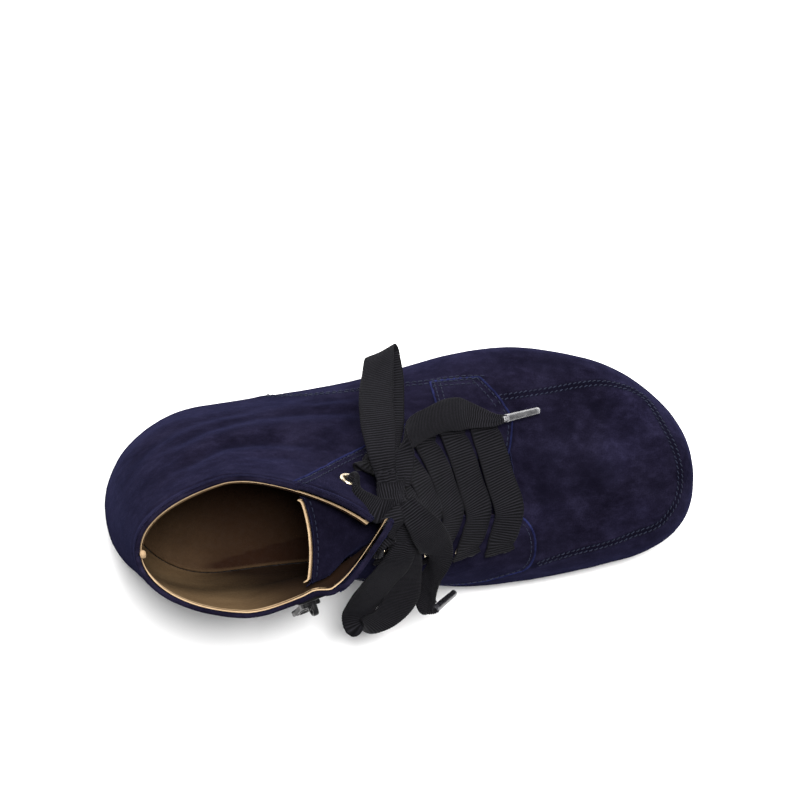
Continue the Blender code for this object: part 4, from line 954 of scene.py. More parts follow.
def zip_line(n=12, z_top=97.0, z_low=None):
    res = []
    z_low = ZIP_BOTTOM[1] + 1.5 if z_low is None else z_low
    for t in np.linspace(0, 1, n):
        z = z_top + (z_low - z_top) * t
        x = float(np.interp(z, [ZIP_BOTTOM[1], 96.0], [ZIP_BOTTOM[0], ZIP_TOP[0]]))
        p, nrm = wall_frame(1, x, z)
        nrm = unit(nrm * 0.6 + ZIP["out"] * 0.4)
        res.append((p, unit(nrm - ZIP["up"] * (nrm @ ZIP["up"]))))
    return res


# eyelets
def eyelet_places():
    out, station = {}, {}
    for side, (near, far, first, last) in EYELETS.items():
        ss = np.concatenate([np.linspace(first, 1.0, 60), np.linspace(1.0, last, 16)[1:]])
        aa = near + (far - near) * np.arange(len(ss)) / (len(ss) - 1)
        line = surf_point(side, ss, aa)
        run = run_of(line)
        for k in range(6):
            v = float(np.interp(run[-1] * k / 5, run, ss))
            a = near + (far - near) * float(np.interp(v, ss, np.linspace(0, 1, len(ss))))
            station[(side, k)] = (v, a)
            p, n = surf(side, [v], [a])
            out[(side, k)] = (p[0], n[0])
    return out, station


EYES, EYE_AT = eyelet_places()


# ------------------------------------------------------------------ the upper's skin
def make_skin():
    R = 10
    C = 98
    n1, n2, n3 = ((92, 128, 92))
    S = np.unique(np.concatenate([np.linspace(0, THROAT_S, n1), np.linspace(THROAT_S, 1, n2), np.linspace(1, 2, n3)]))
    first = int(np.argmin(abs(S - THROAT_S)))
    P, A = [], []
    for side in (0, 1):
        sec = section(S, side, 321)
        c = lengths(sec)
        g = np.minimum(throat_half[side](S), 0.3 * c[:, -1])
        e = c[:, -1] - g
        fr = np.linspace(0, 1, C + 1) ** 1.0
        at = np.concatenate([e[:, None] * fr[None], e[:, None] + g[:, None] * np.linspace(0, 1, R + 1)[None, 1:]], 1)
        P.append(along(sec, c, at))
        A.append(c[:, -1:] - at)
    N = []
    for side in (0, 1):
        g0, g1 = np.gradient(P[side], axis=0), np.gradient(P[side], axis=1)
        N.append(outwards(unit(np.cross(g0, g1)), P[side]))
    for sel, col in ((S >= 1 - 1e-9, 0), (S <= THROAT_S + 1e-9, -1)):
        m = unit(N[0][sel, col] + N[1][sel, col])
        N[0][sel, col] = N[1][sel, col] = m
    m = unit(N[0][0] + N[1][0])
    N[0][0] = N[1][0] = m
    H, T = [], []
    for side in (0, 1):
        h, t = relief(side, np.repeat(S[:, None], P[side].shape[1], 1), A[side], P[side])
        H.append(h)
        T.append(t)
    for sel, col in ((S >= 1 - 1e-9, 0), (S <= THROAT_S + 1e-9, -1)):
        H[0][sel, col] = H[1][sel, col] = 0.5 * (H[0][sel, col] + H[1][sel, col])
    H[0][0] = H[1][0] = 0.5 * (H[0][0] + H[1][0])
    Q = [P[k] + N[k] * H[k][..., None] for k in (0, 1)]
    # eyelet holes and the zip's slit: near points are drawn onto the cut's edge
    gone = [np.zeros(Q[k].shape[:2], bool) for k in (0, 1)]
    for (side, k), (p, n) in EYES.items():
        v = Q[side] - p
        v = v - (v @ n)[..., None] * n
        r = np.linalg.norm(v, axis=-1)
        close = np.linalg.norm(Q[side] - p, axis=-1) < 6
        gone[side] |= close & (r < 1.9)
        ring = close & (r >= 1.9) & (r < 2.4)
        Q[side][ring] += (v / (r[..., None] + 1e-9) * (2.35 - r)[..., None])[ring]
    zl = zip_line(40, 99.6, 35.0)
    zp, zn = np.array([a for a, _ in zl]), np.array([b for _, b in zl])
    up, across = ZIP["up"], ZIP["across"]
    u = (Q[1] - ZIP["collar"]) @ across
    base = (zp - ZIP["collar"]) @ across
    hgt = (Q[1] - ZIP["collar"]) @ up
    u = u - np.interp(hgt, ((zp - ZIP["collar"]) @ up)[::-1], base[::-1])
    low = float((ZIP["bottom"] - ZIP["collar"]) @ up) + 1.0
    medial = (np.abs((Q[1] - ZIP["collar"]) @ ZIP["out"]) < 14) & (hgt > low)
    half = ZIP_SLIT_W / 2
    snap = medial & (np.abs(np.abs(u) - half) < 0.55)
    Q[1][snap] += (across * (np.sign(u) * half - u)[..., None])[snap]
    gone[1] |= medial & (np.abs(u) < half - 0.5)
    b = Build()
    idx = []
    for k in (0, 1):
        idx.append(b.add(Q[k], T[k]))
    full = np.concatenate([idx[1], idx[0][:, -2::-1]], 1)
    lost = np.concatenate([gone[1], gone[0][:, -2::-1]], 1)
    cols = full.shape[1]
    keep = np.ones((full.shape[0] - 1, cols - 1), bool)
    keep[first:, C:cols - 1 - C] = False
    corner = lost[:-1, :-1] | lost[1:, :-1] | lost[:-1, 1:] | lost[1:, 1:]
    keep &= ~corner
    b.grid(full, keep=keep, flip=True)
    # turned edge round the opening: up the medial topline and throat, across its front, and back
    n = len(S)
    med = [(1, n - 1, j) for j in range(0, C + 1)] + [(1, i, C) for i in range(n - 2, first - 1, -1)]
    front = [(1, first, j) for j in range(C + 1, C + R + 1)] + [(0, first, j) for j in range(C + R - 1, C - 1, -1)]
    lat = [(0, i, C) for i in range(first + 1, n)] + [(0, n - 1, j) for j in range(C - 1, -1, -1)]
    loop = med + front + lat
    P0 = np.array([Q[k][i, j] for k, i, j in loop])
    N0 = np.array([N[k][i, j] for k, i, j in loop])
    B0 = np.array([P[k][i, j] for k, i, j in loop])
    inner = []
    for k, i, j in loop:
        if i == n - 1 and j < C:
            q = (k, i - 2, j)
        elif j == C and i > first + 2:
            q = (k, i, j - 2)
        else:
            q = (k, first - 2, min(j, C + R))
        inner.append(Q[q[0]][q[1], q[2]])
    tan = unit(np.roll(P0, -1, 0) - np.roll(P0, 1, 0))
    out = P0 - np.array(inner)
    for _ in range(3):
        out = out - (out * tan).sum(1)[:, None] * tan
        out = out - (out * N0).sum(1)[:, None] * N0
        out = unit(out)
        out = unit(np.roll(out, 1, 0) + 2 * out + np.roll(out, -1, 0))
    rim = dict(p=P0, n=N0, t=out, base=B0)
    rows = [np.array([full[0, 0]] * 0)]
    first_row = np.array([idx[k][i, j] for k, i, j in loop])
    rows = [first_row]
    fat = 0.50 - 0.18 * smoothstep(P0[:, 0], 40, 70) + 0.60 * smoothstep(-P0[:, 1], 4, 14) * (1 - smoothstep(P0[:, 0], 70, 80))
    rim["fat"] = fat
    for dn, dt in ((-0.14, 0.32), (-0.46, 0.52), (-0.84, 0.52), (-1.16, 0.34), (-1.34, -0.05), (-1.38, -0.9)):
        rows.append(b.add(P0 + N0 * dn + out * dt, 0.05))
    grid = np.stack(rows)
    b.grid(np.concatenate([grid, grid[:, :1]], 1), flip=False)
    # the suede turned under at the sole, painted darker as shade under the boot
    low = np.where(S <= 1 + 1e-9)[0]
    for k in (0, 1):
        p0, n0 = Q[k][low, 0], N[k][low, 0].copy()
        n0[:, 2] = 0
        n0 = unit(n0)
        under = [idx[k][low, 0]] + [b.add(p0 - n0 * d + np.array([0, 0, z]), 0.3) for d, z in ((0.15, -0.20), (0.6, -0.28), (1.2, -0.27), (1.75, -0.22))]
        b.grid(np.stack(under), flip=(k == 1))
    ob = b.make("upper_suede", SUEDE, merge=0.002)
    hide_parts("upper")
    return S, first, C, P, N, rim, ob


S_ROWS, FIRST, COLS, BASE, NORM, RIM, skin = make_skin()


def make_lining():
    """tan lining inside the whole upper, with its edge turned up just inside the suede's"""
    b = Build()
    step = 2
    n = len(S_ROWS)
    rows = sorted(set(list(range(0, n, step)) + [FIRST, n - 1]))
    r1 = rows.index(FIRST)
    idx, depth = [], WALL - 0.05
    cols = sorted(set(list(range(0, COLS + 1, step)) + [COLS] + list(range(COLS, BASE[0].shape[1], step)) + [BASE[0].shape[1] - 1]))
    cut = cols.index(COLS)
    inner = []
    for k in (0, 1):
        p = BASE[k] - NORM[k] * depth
        p = p - NORM[k] * (0.10 * noise3(BASE[k], 11.0, 31) + 0.05 * noise3(BASE[k], 4.0, 32))[..., None] * 0.8
        inner.append(p)
        low = BASE[k][..., 2] - feather_z(np.clip(BASE[k][..., 0], 0, 181))
        # painted shade on the lining: darker low down by the sole, towards the toe, and all over the outer side's wall
        tone = np.clip(0.25 * np.exp(-(np.maximum(low, 0) / 9.0) ** 2) + 0.93 * smoothstep(BASE[k][..., 0] - 0.22 * BASE[k][..., 2], 12, 42) + (0.30 if k == 0 else 0.0), 0, 0.95)
        if k:      # in the shade of the tongue's edge
            tone = tone + 0.049 * smoothstep(BASE[k][..., 0], 62, 67) * smoothstep(BASE[k][..., 2], 70, 82)
        idx.append(b.add(p[np.ix_(rows, cols)], tone[np.ix_(rows, cols)]))
    full = np.concatenate([idx[1], idx[0][:, -2::-1]], 1)
    m = full.shape[1]
    keep = np.ones((full.shape[0] - 1, m - 1), bool)
    keep[r1:, cut:m - 1 - cut] = False
    b.grid(full, keep=keep)
    ob = b.make("lining", LINING, merge=0.002)
    e = Build()
    P0, N0, out = RIM["base"], RIM["n"], RIM["t"]
    wav = 0.06 * noise3(P0, 3.0, 41)
    rows = []
    for dn, dt in ((-2.05, -1.2), (-1.98, -0.8), (-1.92, -0.40), (-1.84, -0.05), (-1.72, 0.12), (-1.60, 0.15), (-1.50, 0.06), (-1.44, -0.15), (-1.40, -0.6), (-1.36, -1.2)):
        rows.append(e.add(P0 + N0 * (-1.38 + (dn + 1.38) * RIM["fat"])[:, None] + out * ((dt + wav) * RIM["fat"] if dt > 0 else dt + 0 * wav)[:, None], 0.0))
    grid = np.stack(rows)
    e.grid(np.concatenate([grid, grid[:, :1]], 1), flip=True)
    # the seam's end at the back
    zb = np.linspace(62, 99.3, 60)
    seam = np.stack([back_x(zb) + WALL - 0.05 - COLLAR_BOW * 0.9 * np.clip((zb - 16) / 83, 0, 1) ** 2 * 4 * np.clip((zb - 16) / 83, 0, 1) * (1 - np.clip((zb - 16) / 83, 0, 1)), lean(zb) + swing(back_x(zb)), zb], -1)
    tube(e, seam, np.tile([1.0, 0, 0], (60, 1)), 1.15, np.interp(zb, [62, 66, 97, 99.3], [0.2, 0.45, 0.45, 0.9]), sides=12, flat=0.7)
    edge = e.make("lining_edge_lit", LINING_LIT_EDGE, merge=0.002)


make_lining()


# ------------------------------------------------------------------ stitches and edges
def stitch_row(b, where, height=0.02, pitch=1.9, length=1.45, r=0.19, skip=(), slant=0.0, side_shift=0.0):
    """thread laid in and out of the suede along a surface line"""
    sides, s, a, p, n = where
    run = run_of(p)
    top = lifted(where, height)
    tan = unit(np.gradient(top, axis=0))
    count = int(run[-1] / pitch)
    rng = np.random.RandomState(int(run[-1] * 10) % 9973)
    for i in range(count):
        mid = (i + 0.5) * pitch + rng.uniform(-0.08, 0.08)
        if any(lo <= mid <= hi for lo, hi in skip):
            continue
        t = np.linspace(-1, 1, 7)
        at = mid + t * length / 2
        c = np.stack([np.interp(at, run, top[:, k]) for k in range(3)], -1)
        nn = unit(np.stack([np.interp(at, run, n[:, k]) for k in range(3)], -1))
        tt = np.stack([np.interp(at, run, tan[:, k]) for k in range(3)], -1)
        bi = unit(np.cross(nn, tt))
        c = c + nn * (0.20 * (1 - t[:, None] ** 4) - 0.20 * abs(t[:, None]) ** 6) + bi * (slant * t[:, None] + side_shift)
        tube(b, c, nn, r * (1 - 0.25 * t ** 4), r * 0.85 * (1 - 0.25 * t ** 4), sides=6, tone=rng.uniform(0, 1))


def inwards_of(lines, side, region):
    """+1 where moving to the left of the lines goes into the panel"""
    ln = lines[0]
    mid = len(ln[3]) // 2
    sl = tuple(v[max(mid - 2, 0):mid + 3] for v in ln)
    m = moved(sl, 1.5)
    return 1.0 if inside(region, m[1] * 150.0, m[2])[len(m[1]) // 2] else -1.0


LAT_IN, MED_IN = inwards_of(LAT_LINES, 0, LAT_REGION), inwards_of(MED_LINES, 1, MED_REGION)


def panel_edges():
    """the cut edge of each panel, a narrow lip standing on the suede below it"""
    b = Build()
    for lines, sgn in ((LAT_LINES, LAT_IN), (MED_LINES, MED_IN)):
        for ln in lines:
            sides, s, a, p, n = ln
            base = np.zeros_like(p)
            for k in (0, 1):
                m = sides == k
                if m.any():
                    h, _ = relief(k, s[m], a[m], p[m])
                    base[m] = p[m] + n[m] * h[:, None]
            wav = 0.10 * noise3(p, 2.2, 51)
            tan = unit(np.gradient(p, axis=0))
            c = base + n * 0.08 + np.cross(n, tan) * (0.12 * sgn + wav * 0.6)[:, None]
            tube(b, c, n, 0.36, 0.34, tone=0.0, sides=8)
    ob = b.make("panel_edges", SUEDE_EDGE)


panel_edges()


def stitches_all():
    b = Build()
    for off in (-0.78, 0.78):
        stitch_row(b, moved(APRON, off), pitch=1.6, length=1.28, slant=0.26, r=0.21)
    for off in (-0.9, 0.9):
        stitch_row(b, moved(QUARTER_LAT, off), r=0.18)
    for k, ln in enumerate(LAT_LINES):
        for off in (1.1, 2.8) if k < 4 else (1.3,):
            if len(ln[3]) > 6:
                stitch_row(b, moved(ln, off * LAT_IN), pitch=1.75, length=1.3, r=0.18)
    for k, ln in enumerate(MED_LINES):
        for off in ((1.5,) if k < 2 else (1.2, 2.8)):
            stitch_row(b, moved(ln, off * MED_IN), pitch=1.75, length=1.3, r=0.17)
    ob = b.make("stitches", THREAD)


stitches_all()


# ------------------------------------------------------------------ ribbons
RIB = 0.8


def ribbon(name, pts, wid, half, thick=0.62, body="boot", curl=0.0, phase=0.0, build=None, ribs=0.11, crinkle=1.0):
    """grosgrain ribbon: pts its middle, wid the way of its width, half its half width, all along it"""
    step = RIB / 6.0
    data = np.column_stack([pts, wid, np.broadcast_to(half, len(pts)), np.broadcast_to(thick, len(pts)), np.broadcast_to(curl, len(pts))])
    d = through(data, step)
    p, w, hw, th, cu = d[:, :3], d[:, 3:6], d[:, 6], d[:, 7], d[:, 8]
    tan = unit(np.gradient(p, axis=0))
    w = unit(w - (w * tan).sum(1)[:, None] * tan)
    n = np.cross(tan, w)
    run = run_of(p)
    full = RIBBON_W / 2
    m = 9
    u = np.sin(np.linspace(-1, 1, m) * pi / 2)
    pack = np.clip(hw / full, 0.25, 1)
    wave = np.cos(2 * pi * (run + phase) / RIB)
    folds = (1 - pack)[:, None] * np.cos(u[None] * 2.2 * pi + 0.8) * 0.9 * crinkle
    x = u[None] * hw[:, None] * (1 + 0.012 * wave[:, None] * (abs(u[None]) > 0.9))
    z = cu[:, None] * (1 - u[None] ** 2) + folds + 0.16 * noise3(np.stack([np.repeat(run[:, None], m, 1), np.repeat(u[None] * 5, len(run), 0), np.full((len(run), m), phase)], -1), 7.0, 61)
    body_t = 0.5 * th[:, None] * (1 - 0.45 * u[None] ** 8)
    rib = ribs * wave[:, None] * (1 - u[None] ** 10)
    # the ribs are painted lighter on their crests and darker in the hollows between them, as light and shade; the edges
    # a little darker
    rib_light_and_shade = 0.5 + 0.42 * wave[:, None] * (1 - u[None] ** 10) + 0.0 * u[None]
    rib_light_and_shade = np.where(abs(u[None]) > 0.93, 0.35, rib_light_and_shade)
    b = build or Build()
    top = p[:, None] + w[:, None] * x[..., None] + n[:, None] * (z + body_t + rib)[..., None]
    bot = p[:, None] + w[:, None] * x[..., None] + n[:, None] * (z - body_t - rib)[..., None]
    ring = np.concatenate([top, bot[:, ::-1]], 1)
    idx = b.add(ring, np.concatenate([rib_light_and_shade, rib_light_and_shade[:, ::-1]], 1))
    b.grid(idx, ring=True, flip=True)
    b.fan(idx[0], flip=False)
    b.fan(idx[-1], flip=True)
    if build is not None:
        return p
    ob = b.make(name, RIBBON, body)
    return ob, p


def table_ribbon(name, table, gather, curl, phase, taper=None, thick=0.62, start=None):
    if start is not None:      # a short way more into the knot
        table = [("in_knot", *start, *table[0][4:7])] + table
    p = np.array([r[1:4] for r in table], float)
    w = unit(np.array([r[4:7] for r in table], float))
    # the same line as the part's: a spline over the chord length
    k = run_of(p)
    fine = np.unique(np.concatenate([np.linspace(a, b, 5) for a, b in zip(k[:-1], k[1:])]))
    q = np.stack([curve([(a, b) for a, b in zip(k, p[:, c])], 0, 1)(fine) for c in range(3)], -1)
    v = np.stack([curve([(a, b) for a, b in zip(k, w[:, c])], 0, 1)(fine) for c in range(3)], -1)
    t = fine / fine[-1]
    half = np.interp(t, [0, 0.16, 0.84, 1], [RIBBON_W / 2 * g for g in (gather[0], 1, 1, gather[1])])
    if taper:
        half = half * np.interp(t, [0, taper[0], 1], [1, 1, taper[1]])
    cu = curl(t) if callable(curl) else np.full(len(t), float(curl))
    th = np.interp(half, [1.0, 3.0], [1.5, thick])
    ob, line = ribbon(name, q, v, half, th, curl=cu, phase=phase)
    return ob, line


def laid(table, changes):
    """a table with some of its rows laid a little differently, as the soft ribbon falls"""
    return [(r[0], *changes[r[0]]) if r[0] in changes else r for r in table]


LOOP_LATERAL = laid(LOOP_LATERAL, {
    "fall": (85.9, 28.8, 86.0, 1.0, 0.0, 0.0), "lower": (86.3, 35.5, 77.0, 1.0, 0.15, 0.05), "fold_top": (87.2, 41.3, 68.0, 1.0, 0.38, 0.20),
    "fold": (87.8, 43.9, 61.5, 1.0, 0.42, 0.20), "fold_under": (88.6, 42.4, 57.0, 1.0, 0.35, 0.25), "back": (89.2, 37.2, 58.0, 1.0, 0.18, 0.25),
    "back_up": (88.9, 30.0, 63.2, 1.0, 0.08, 0.12), "back_knot": (88.2, 22.4, 67.8, 1.0, 0.0, 0.0)})
LOOP_MEDIAL = laid(LOOP_MEDIAL, {
    "over": (90.6, -6.6, 88.4, 1.0, 0.0, 0.0), "fall": (90.2, -14.6, 79.6, 1.0, -0.04, 0.0), "lower": (89.4, -22.9, 67.5, 1.0, -0.06, -0.04),
    "turn": (87.2, -31.8, 56.5, 0.96, -0.26, -0.16), "run_down": (82.6, -37.3, 50.2, 0.74, -0.46, -0.48), "run_back": (78.0, -39.9, 47.0, 0.52, -0.60, -0.60),
    "fold": (74.8, -40.3, 46.0, 0.62, -0.46, -0.62), "fold_under": (74.0, -37.8, 47.2, 0.90, -0.15, -0.40), "back": (75.6, -33.2, 52.4, 1.0, 0.0, -0.08),
    "back_up": (80.0, -26.4, 63.0, 1.0, 0.0, -0.02), "back_knot": (86.6, -17.8, 77.6, 1.0, 0.0, 0.0), "near_knot": (90.4, -10.6, 85.4, 1.0, 0.0, 0.0)})
END_LATERAL = laid(END_LATERAL, {
    "leaves_knot": (91.2, 11.8, 89.0, 0.95, 0.30, 0.00), "out": (91.3, 17.2, 86.0, 0.72, 0.68, -0.05), "rise": (93.6, 20.3, 81.2, 0.35, 0.93, -0.10),
    "over": (99.4, 22.5, 71.6, 0.36, 0.91, -0.20)})
END_MEDIAL = laid(END_MEDIAL, {
    "leaves_knot": (91.9, 3.6, 95.6, 0.70, 0.70, 0.10), "diagonal": (94.9, -1.2, 95.0, 0.70, 0.70, 0.05), "across": (98.2, -7.6, 89.6, 0.72, 0.66, 0.18),
    "fold": (99.4, -13.3, 79.2, 0.50, 0.46, 0.74), "down": (98.5, -19.9, 67.6, 0.22, 0.20, 0.95), "lower": (96.8, -27.2, 56.2, 0.28, 0.05, 0.95),
    "curl": (94.6, -34.2, 46.9, 0.85, 0.05, 0.50), "curl_out": (95.6, -38.0, 42.6, 0.90, 0.10, 0.20), "aglet": (97.8, -37.6, 41.2, 0.55, 0.30, 0.80)})

loop_lat, line_ll = table_ribbon("bow_loop_lateral_ribbon", LOOP_LATERAL, (0.62, 0.55), lambda t: 0.35 * np.sin(pi * t), 0.1)
loop_med, line_lm = table_ribbon("bow_loop_medial_ribbon", LOOP_MEDIAL, (0.62, 0.55), lambda t: -0.3 * np.sin(pi * t), 0.3)
end_lat, line_el = table_ribbon("lace_end_lateral_ribbon", END_LATERAL, (0.6, 1), lambda t: 0.5 * np.sin(pi * t), 0.2, taper=(0.74, 0.20), start=(90.6, 7.6, 91.0))
end_med, line_em = table_ribbon("lace_end_medial_ribbon", END_MEDIAL, (0.6, 1), lambda t: 0.4 * np.sin(pi * t), 0.4, taper=(0.78, 0.20))


def aglet(name, table, mat, lean_to=None):
    p = np.array([r[1:4] for r in table], float)
    k = run_of(p)
    fine = np.unique(np.concatenate([np.linspace(a, b, 5) for a, b in zip(k[:-1], k[1:])]))
    q = np.stack([curve([(a, b) for a, b in zip(k, p[:, c])], 0, 1)(fine) for c in range(3)], -1)
    d = unit(q[-1] - q[-2]) if lean_to is None else unit(unit(q[-1] - q[-2]) + np.array(lean_to))
    at = np.array([-1.2, -1.0, -0.6, 0.2, 0.8, 2.0, 4.0, 6.0, 8.0, 10.0, 10.9, 11.25, 11.4])
    r = np.array([1.02, 1.16, 1.22, 1.25, 1.22, 1.20, 1.17, 1.14, 1.10, 1.07, 1.04, 0.92, 0.72])
    line = q[-1] + d * at[:, None]
    up = unit(np.cross(d, [0.3, 0.2, 1.0]))
    b = Build()
    th = np.linspace(0, 2 * pi, 28, endpoint=False)
    side = np.cross(d, up)
    ring = []
    for i in range(len(at)):
        rr = r[i] * (1 - 0.06 * np.exp(-((th - 1.2) / 0.16) ** 2))     # the overlap of the rolled film
        flat = 0.86
        ring.append(line[i] + up * (np.cos(th) * rr)[:, None] + side * (np.sin(th) * rr * flat)[:, None])
    tone = np.repeat(np.where((at < 0.4) | (at > 10.6), 0.8, 0.0)[:, None], 28, 1)
    idx = b.add(np.array(ring), tone)
    b.grid(idx, ring=True, flip=True)
    b.fan(idx[0], flip=False)
    b.fan(idx[-1], flip=True)
    ob = b.make(name + "_tip", mat, sharp=50)
    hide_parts(name)
    return ob


tip_lat = aglet("aglet_lateral", END_LATERAL, AGLET_GREY)
tip_med = aglet("aglet_medial", END_MEDIAL, AGLET_DARK, (-0.1, 0.08, -0.75))


def knot():
    """the band wrapped round the bow's middle, with the lace tucked under it"""
    b = Build()
    tilt = radians(38)
    ex = np.array([cos(tilt), 0, -sin(tilt)])
    ez = np.array([sin(tilt), 0, cos(tilt)])
    ey = np.array([0, 1.0, 0])
    th = np.linspace(radians(-150), radians(205), 26)
    path, wid, half, cu = [], [], [], []
    for t in th:
        c = KNOT_AT + ex * (4.5 * cos(t)) + ez * (3.3 * sin(t)) + ey * (0.9 * sin(t) * 0.6 - 0.5 * (t / 3.4))
        path.append(c)
        wid.append(ey + ex * 0.22)
        half.append(3.9 + 0.5 * cos(2 * t))
        cu.append(0.55)
    ribbon("band", np.array(path), np.array(wid), np.array(half), 0.8, build=b, curl=np.array(cu), phase=0.0, ribs=0.09)
    # gathered ribbon inside the band, from loop to loop
    core = [(87.0, 13.4, 93.2), (87.4, 10.5, 93.0), (88.0, 7.5, 92.4), (88.9, 4.5, 92.0), (90.4, 1.4, 91.8), (92.0, -0.9, 91.2)]
    ribbon("core", np.array(core), np.tile([1.0, 0.1, 0.0], (6, 1)), np.array([3.3, 2.9, 2.6, 2.6, 2.9, 3.3]), 2.6, build=b, curl=0.2, phase=0.3)
    under = [(88.4, 13.2, 84.4), (89.0, 9.5, 87.4), (89.8, 5.0, 88.2), (91.4, 0.2, 88.0), (92.4, -4.2, 87.0)]
    ribbon("under", np.array(under), np.tile([1.0, 0.1, 0.0], (5, 1)), np.array([2.9, 2.7, 2.6, 2.7, 2.9]), 1.8, build=b, curl=0.0, phase=0.1)
    ob = b.make("bow_knot_ribbon", RIBBON)
    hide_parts("bow_knot")
    return ob


knot_ob = knot()


for ob, line, node, pieces in ((loop_lat, line_ll, "bow_loop_lateral", [knot_ob]), (loop_med, line_lm, "bow_loop_medial", []),
                               (end_lat, line_el, "lace_end_lateral", [tip_lat]), (end_med, line_em, "lace_end_medial", [tip_med])):
    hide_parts(node)
    path = through(line, 1.6)
    float(run_of(path)[-1]) / 1000.0
    "object" if "loop" in node else "bare"
    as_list(pieces)


# ------------------------------------------------------------------ the lace through the eyelets
def forward(s_, share, bulge=3.0):
    step = 0.01
    run = np.hypot(ridge_x(s_ + step) - ridge_x(s_), ridge_z(s_ + step) - ridge_z(s_)) / step
    return s_ - bulge * share / float(run)


def bar(k):
    """one bar: out of the outer eyelet, over both facings and the throat, into the inner eyelet"""
    pts, nrm, half, thick = [], [], [], []

    def put(p, n, h, t):
        pts.append(p)
        nrm.append(n)
        half.append(h)
        thick.append(t)
    lines = []
    for side in (0, 1):
        s_, a_ = EYE_AT[(side, k)]
        edge = float(throat_half[side](s_))
        full = (0.55, 1.0)[side]
        e, n = EYES[(side, k)]
        to_edge = surf(side, [s_], [edge])[0][0] - e
        to_edge = unit(to_edge - n * (to_edge @ n))
        far = 1.0 if side or k < 3 else 1.3
        back = np.zeros(3) if side or k < 4 else unit(surf(side, [s_ + 0.03], [a_])[0][0] - e) * 1.7
        line = [(e - n * 2.2, n, 1.2, 1.9), (e + n * 0.5 - to_edge * 0.25, n, 1.5, 1.7), (e + n * 1.35 - to_edge * 1.6 * far + back * 0.8, n, 2.9 + 0.5 * (k == 4), 1.2),
                (e + n * 2.25 - to_edge * 1.5 * far + back, n, 3.9 + 0.4 * far, 0.8), (e + n * 2.5 + to_edge * 0.9 + back * 0.7, n, 4.5 + 0.2 * far, 0.64)]
        for f, sh, lift, h in ((0.26, 0.10, 2.3, 4.7), (0.50, 0.45, 2.0, 5.0), (0.75, 0.75, 1.8, 5.0), (1.0, 1.0, 1.75, 5.0)):
            a = a_ + (edge - a_) * f
            p, nn = surf(side, [forward(s_, sh * full)], [a])
            line.append((p[0] + nn[0] * lift, nn[0], h, 0.62))
        lines.append(line)
    s_m = forward((EYE_AT[(0, k)][0] + EYE_AT[(1, k)][0]) / 2, 0.85)
    p0, n0 = surf(0, [s_m], [2.5])
    p1, n1 = surf(1, [s_m], [2.5])
    up = unit(n0[0] + n1[0])
    for v in lines[0] + [((p0[0] + p1[0]) / 2 + up * 1.3, up, 5.0, 0.62)] + lines[1][::-1]:
        put(*v)
    pts, nrm = np.array(pts), np.array(nrm)
    s0, a0 = EYE_AT[(0, k)]
    ahead = unit(surf(0, [s0 + 0.03], [1.0])[0][0] - surf(0, [s0], [1.0])[0][0])
    wid = []
    tan = unit(np.gradient(pts, axis=0))
    for i in range(len(pts)):
        w = ahead - tan[i] * (ahead @ tan[i])
        lay = 0.075 * float(smoothstep(float(half[i]), 3.6, 4.8))      # laid like shingles, each over the one behind it
        wid.append(unit(unit(w) - nrm[i] * lay))
    return pts, np.array(wid), np.array(half), np.array(thick)


def bars():
    b = Build()
    for k in range(5):
        p, w, h, t = bar(k)
        ribbon("bar", p, w, h, t, build=b, phase=0.17 * k, curl=0.0)
    # from each top eyelet the gathered ribbon runs up to the knot
    def over_flap(side, pt, lift):
        q, m = surf(side, *locate(side, [pt]))
        return q[0] + m[0] * lift
    e, n = EYES[(0, 5)]
    pts = [e - n * 2.2, e + n * 0.5, e + n * 1.9 + np.array([0.7, -0.2, 0.2]), over_flap(0, (79.7, 9.8, 91.5), 1.7), over_flap(0, (82.0, 6.4, 94.0), 1.9), (84.6, 2.2, 97.6), (87.4, 2.0, 95.0)]
    w = np.array([[0.2, 0.9, 0.3], [0.2, 0.9, 0.3], [0.2, 0.8, 0.6], [0.5, 0.8, 0.2], [0.6, 0.7, 0.2], [0.6, 0.8, 0.1], [0.5, 0.8, 0.1]])
    ribbon("tail", np.array([tuple(v) for v in pts]), w, np.array([1.0, 1.1, 1.3, 1.5, 2.1, 3.9, 3.6]), np.array([1.7, 1.7, 1.6, 1.5, 1.2, 0.8, 0.9]), build=b, phase=0.3, crinkle=0.3)
    e, n = EYES[(1, 5)]
    pts = [e - n * 2.2, e + n * 0.3, e + n * 1.2 + np.array([0.8, 0.4, 0.0]), over_flap(1, (84.8, -10.4, 90.4), 0.9), over_flap(1, (88.2, -6.0, 92.0), 1.2), (88.0, -1.2, 96.2), (87.4, 2.8, 94.5)]
    w = np.array([[0.2, 1, 0.2], [0.2, 1, 0.2], [0.1, 1.0, 0.2], [-0.2, 1.0, 0.1], [0.4, 0.9, 0.0], [1.0, 0.2, 0.0], [1.0, 0.1, 0.0]])
    ribbon("tail", np.array([tuple(v) for v in pts]), w, np.array([1.0, 1.1, 1.25, 1.6, 2.6, 3.4, 3.0]), np.array([1.7, 1.7, 1.5, 1.3, 1.0, 0.8, 1.1]), build=b, phase=0.3, crinkle=0.3)
    ob = b.make("lace_ribbon", RIBBON)
    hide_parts("lace_bars")


bars()


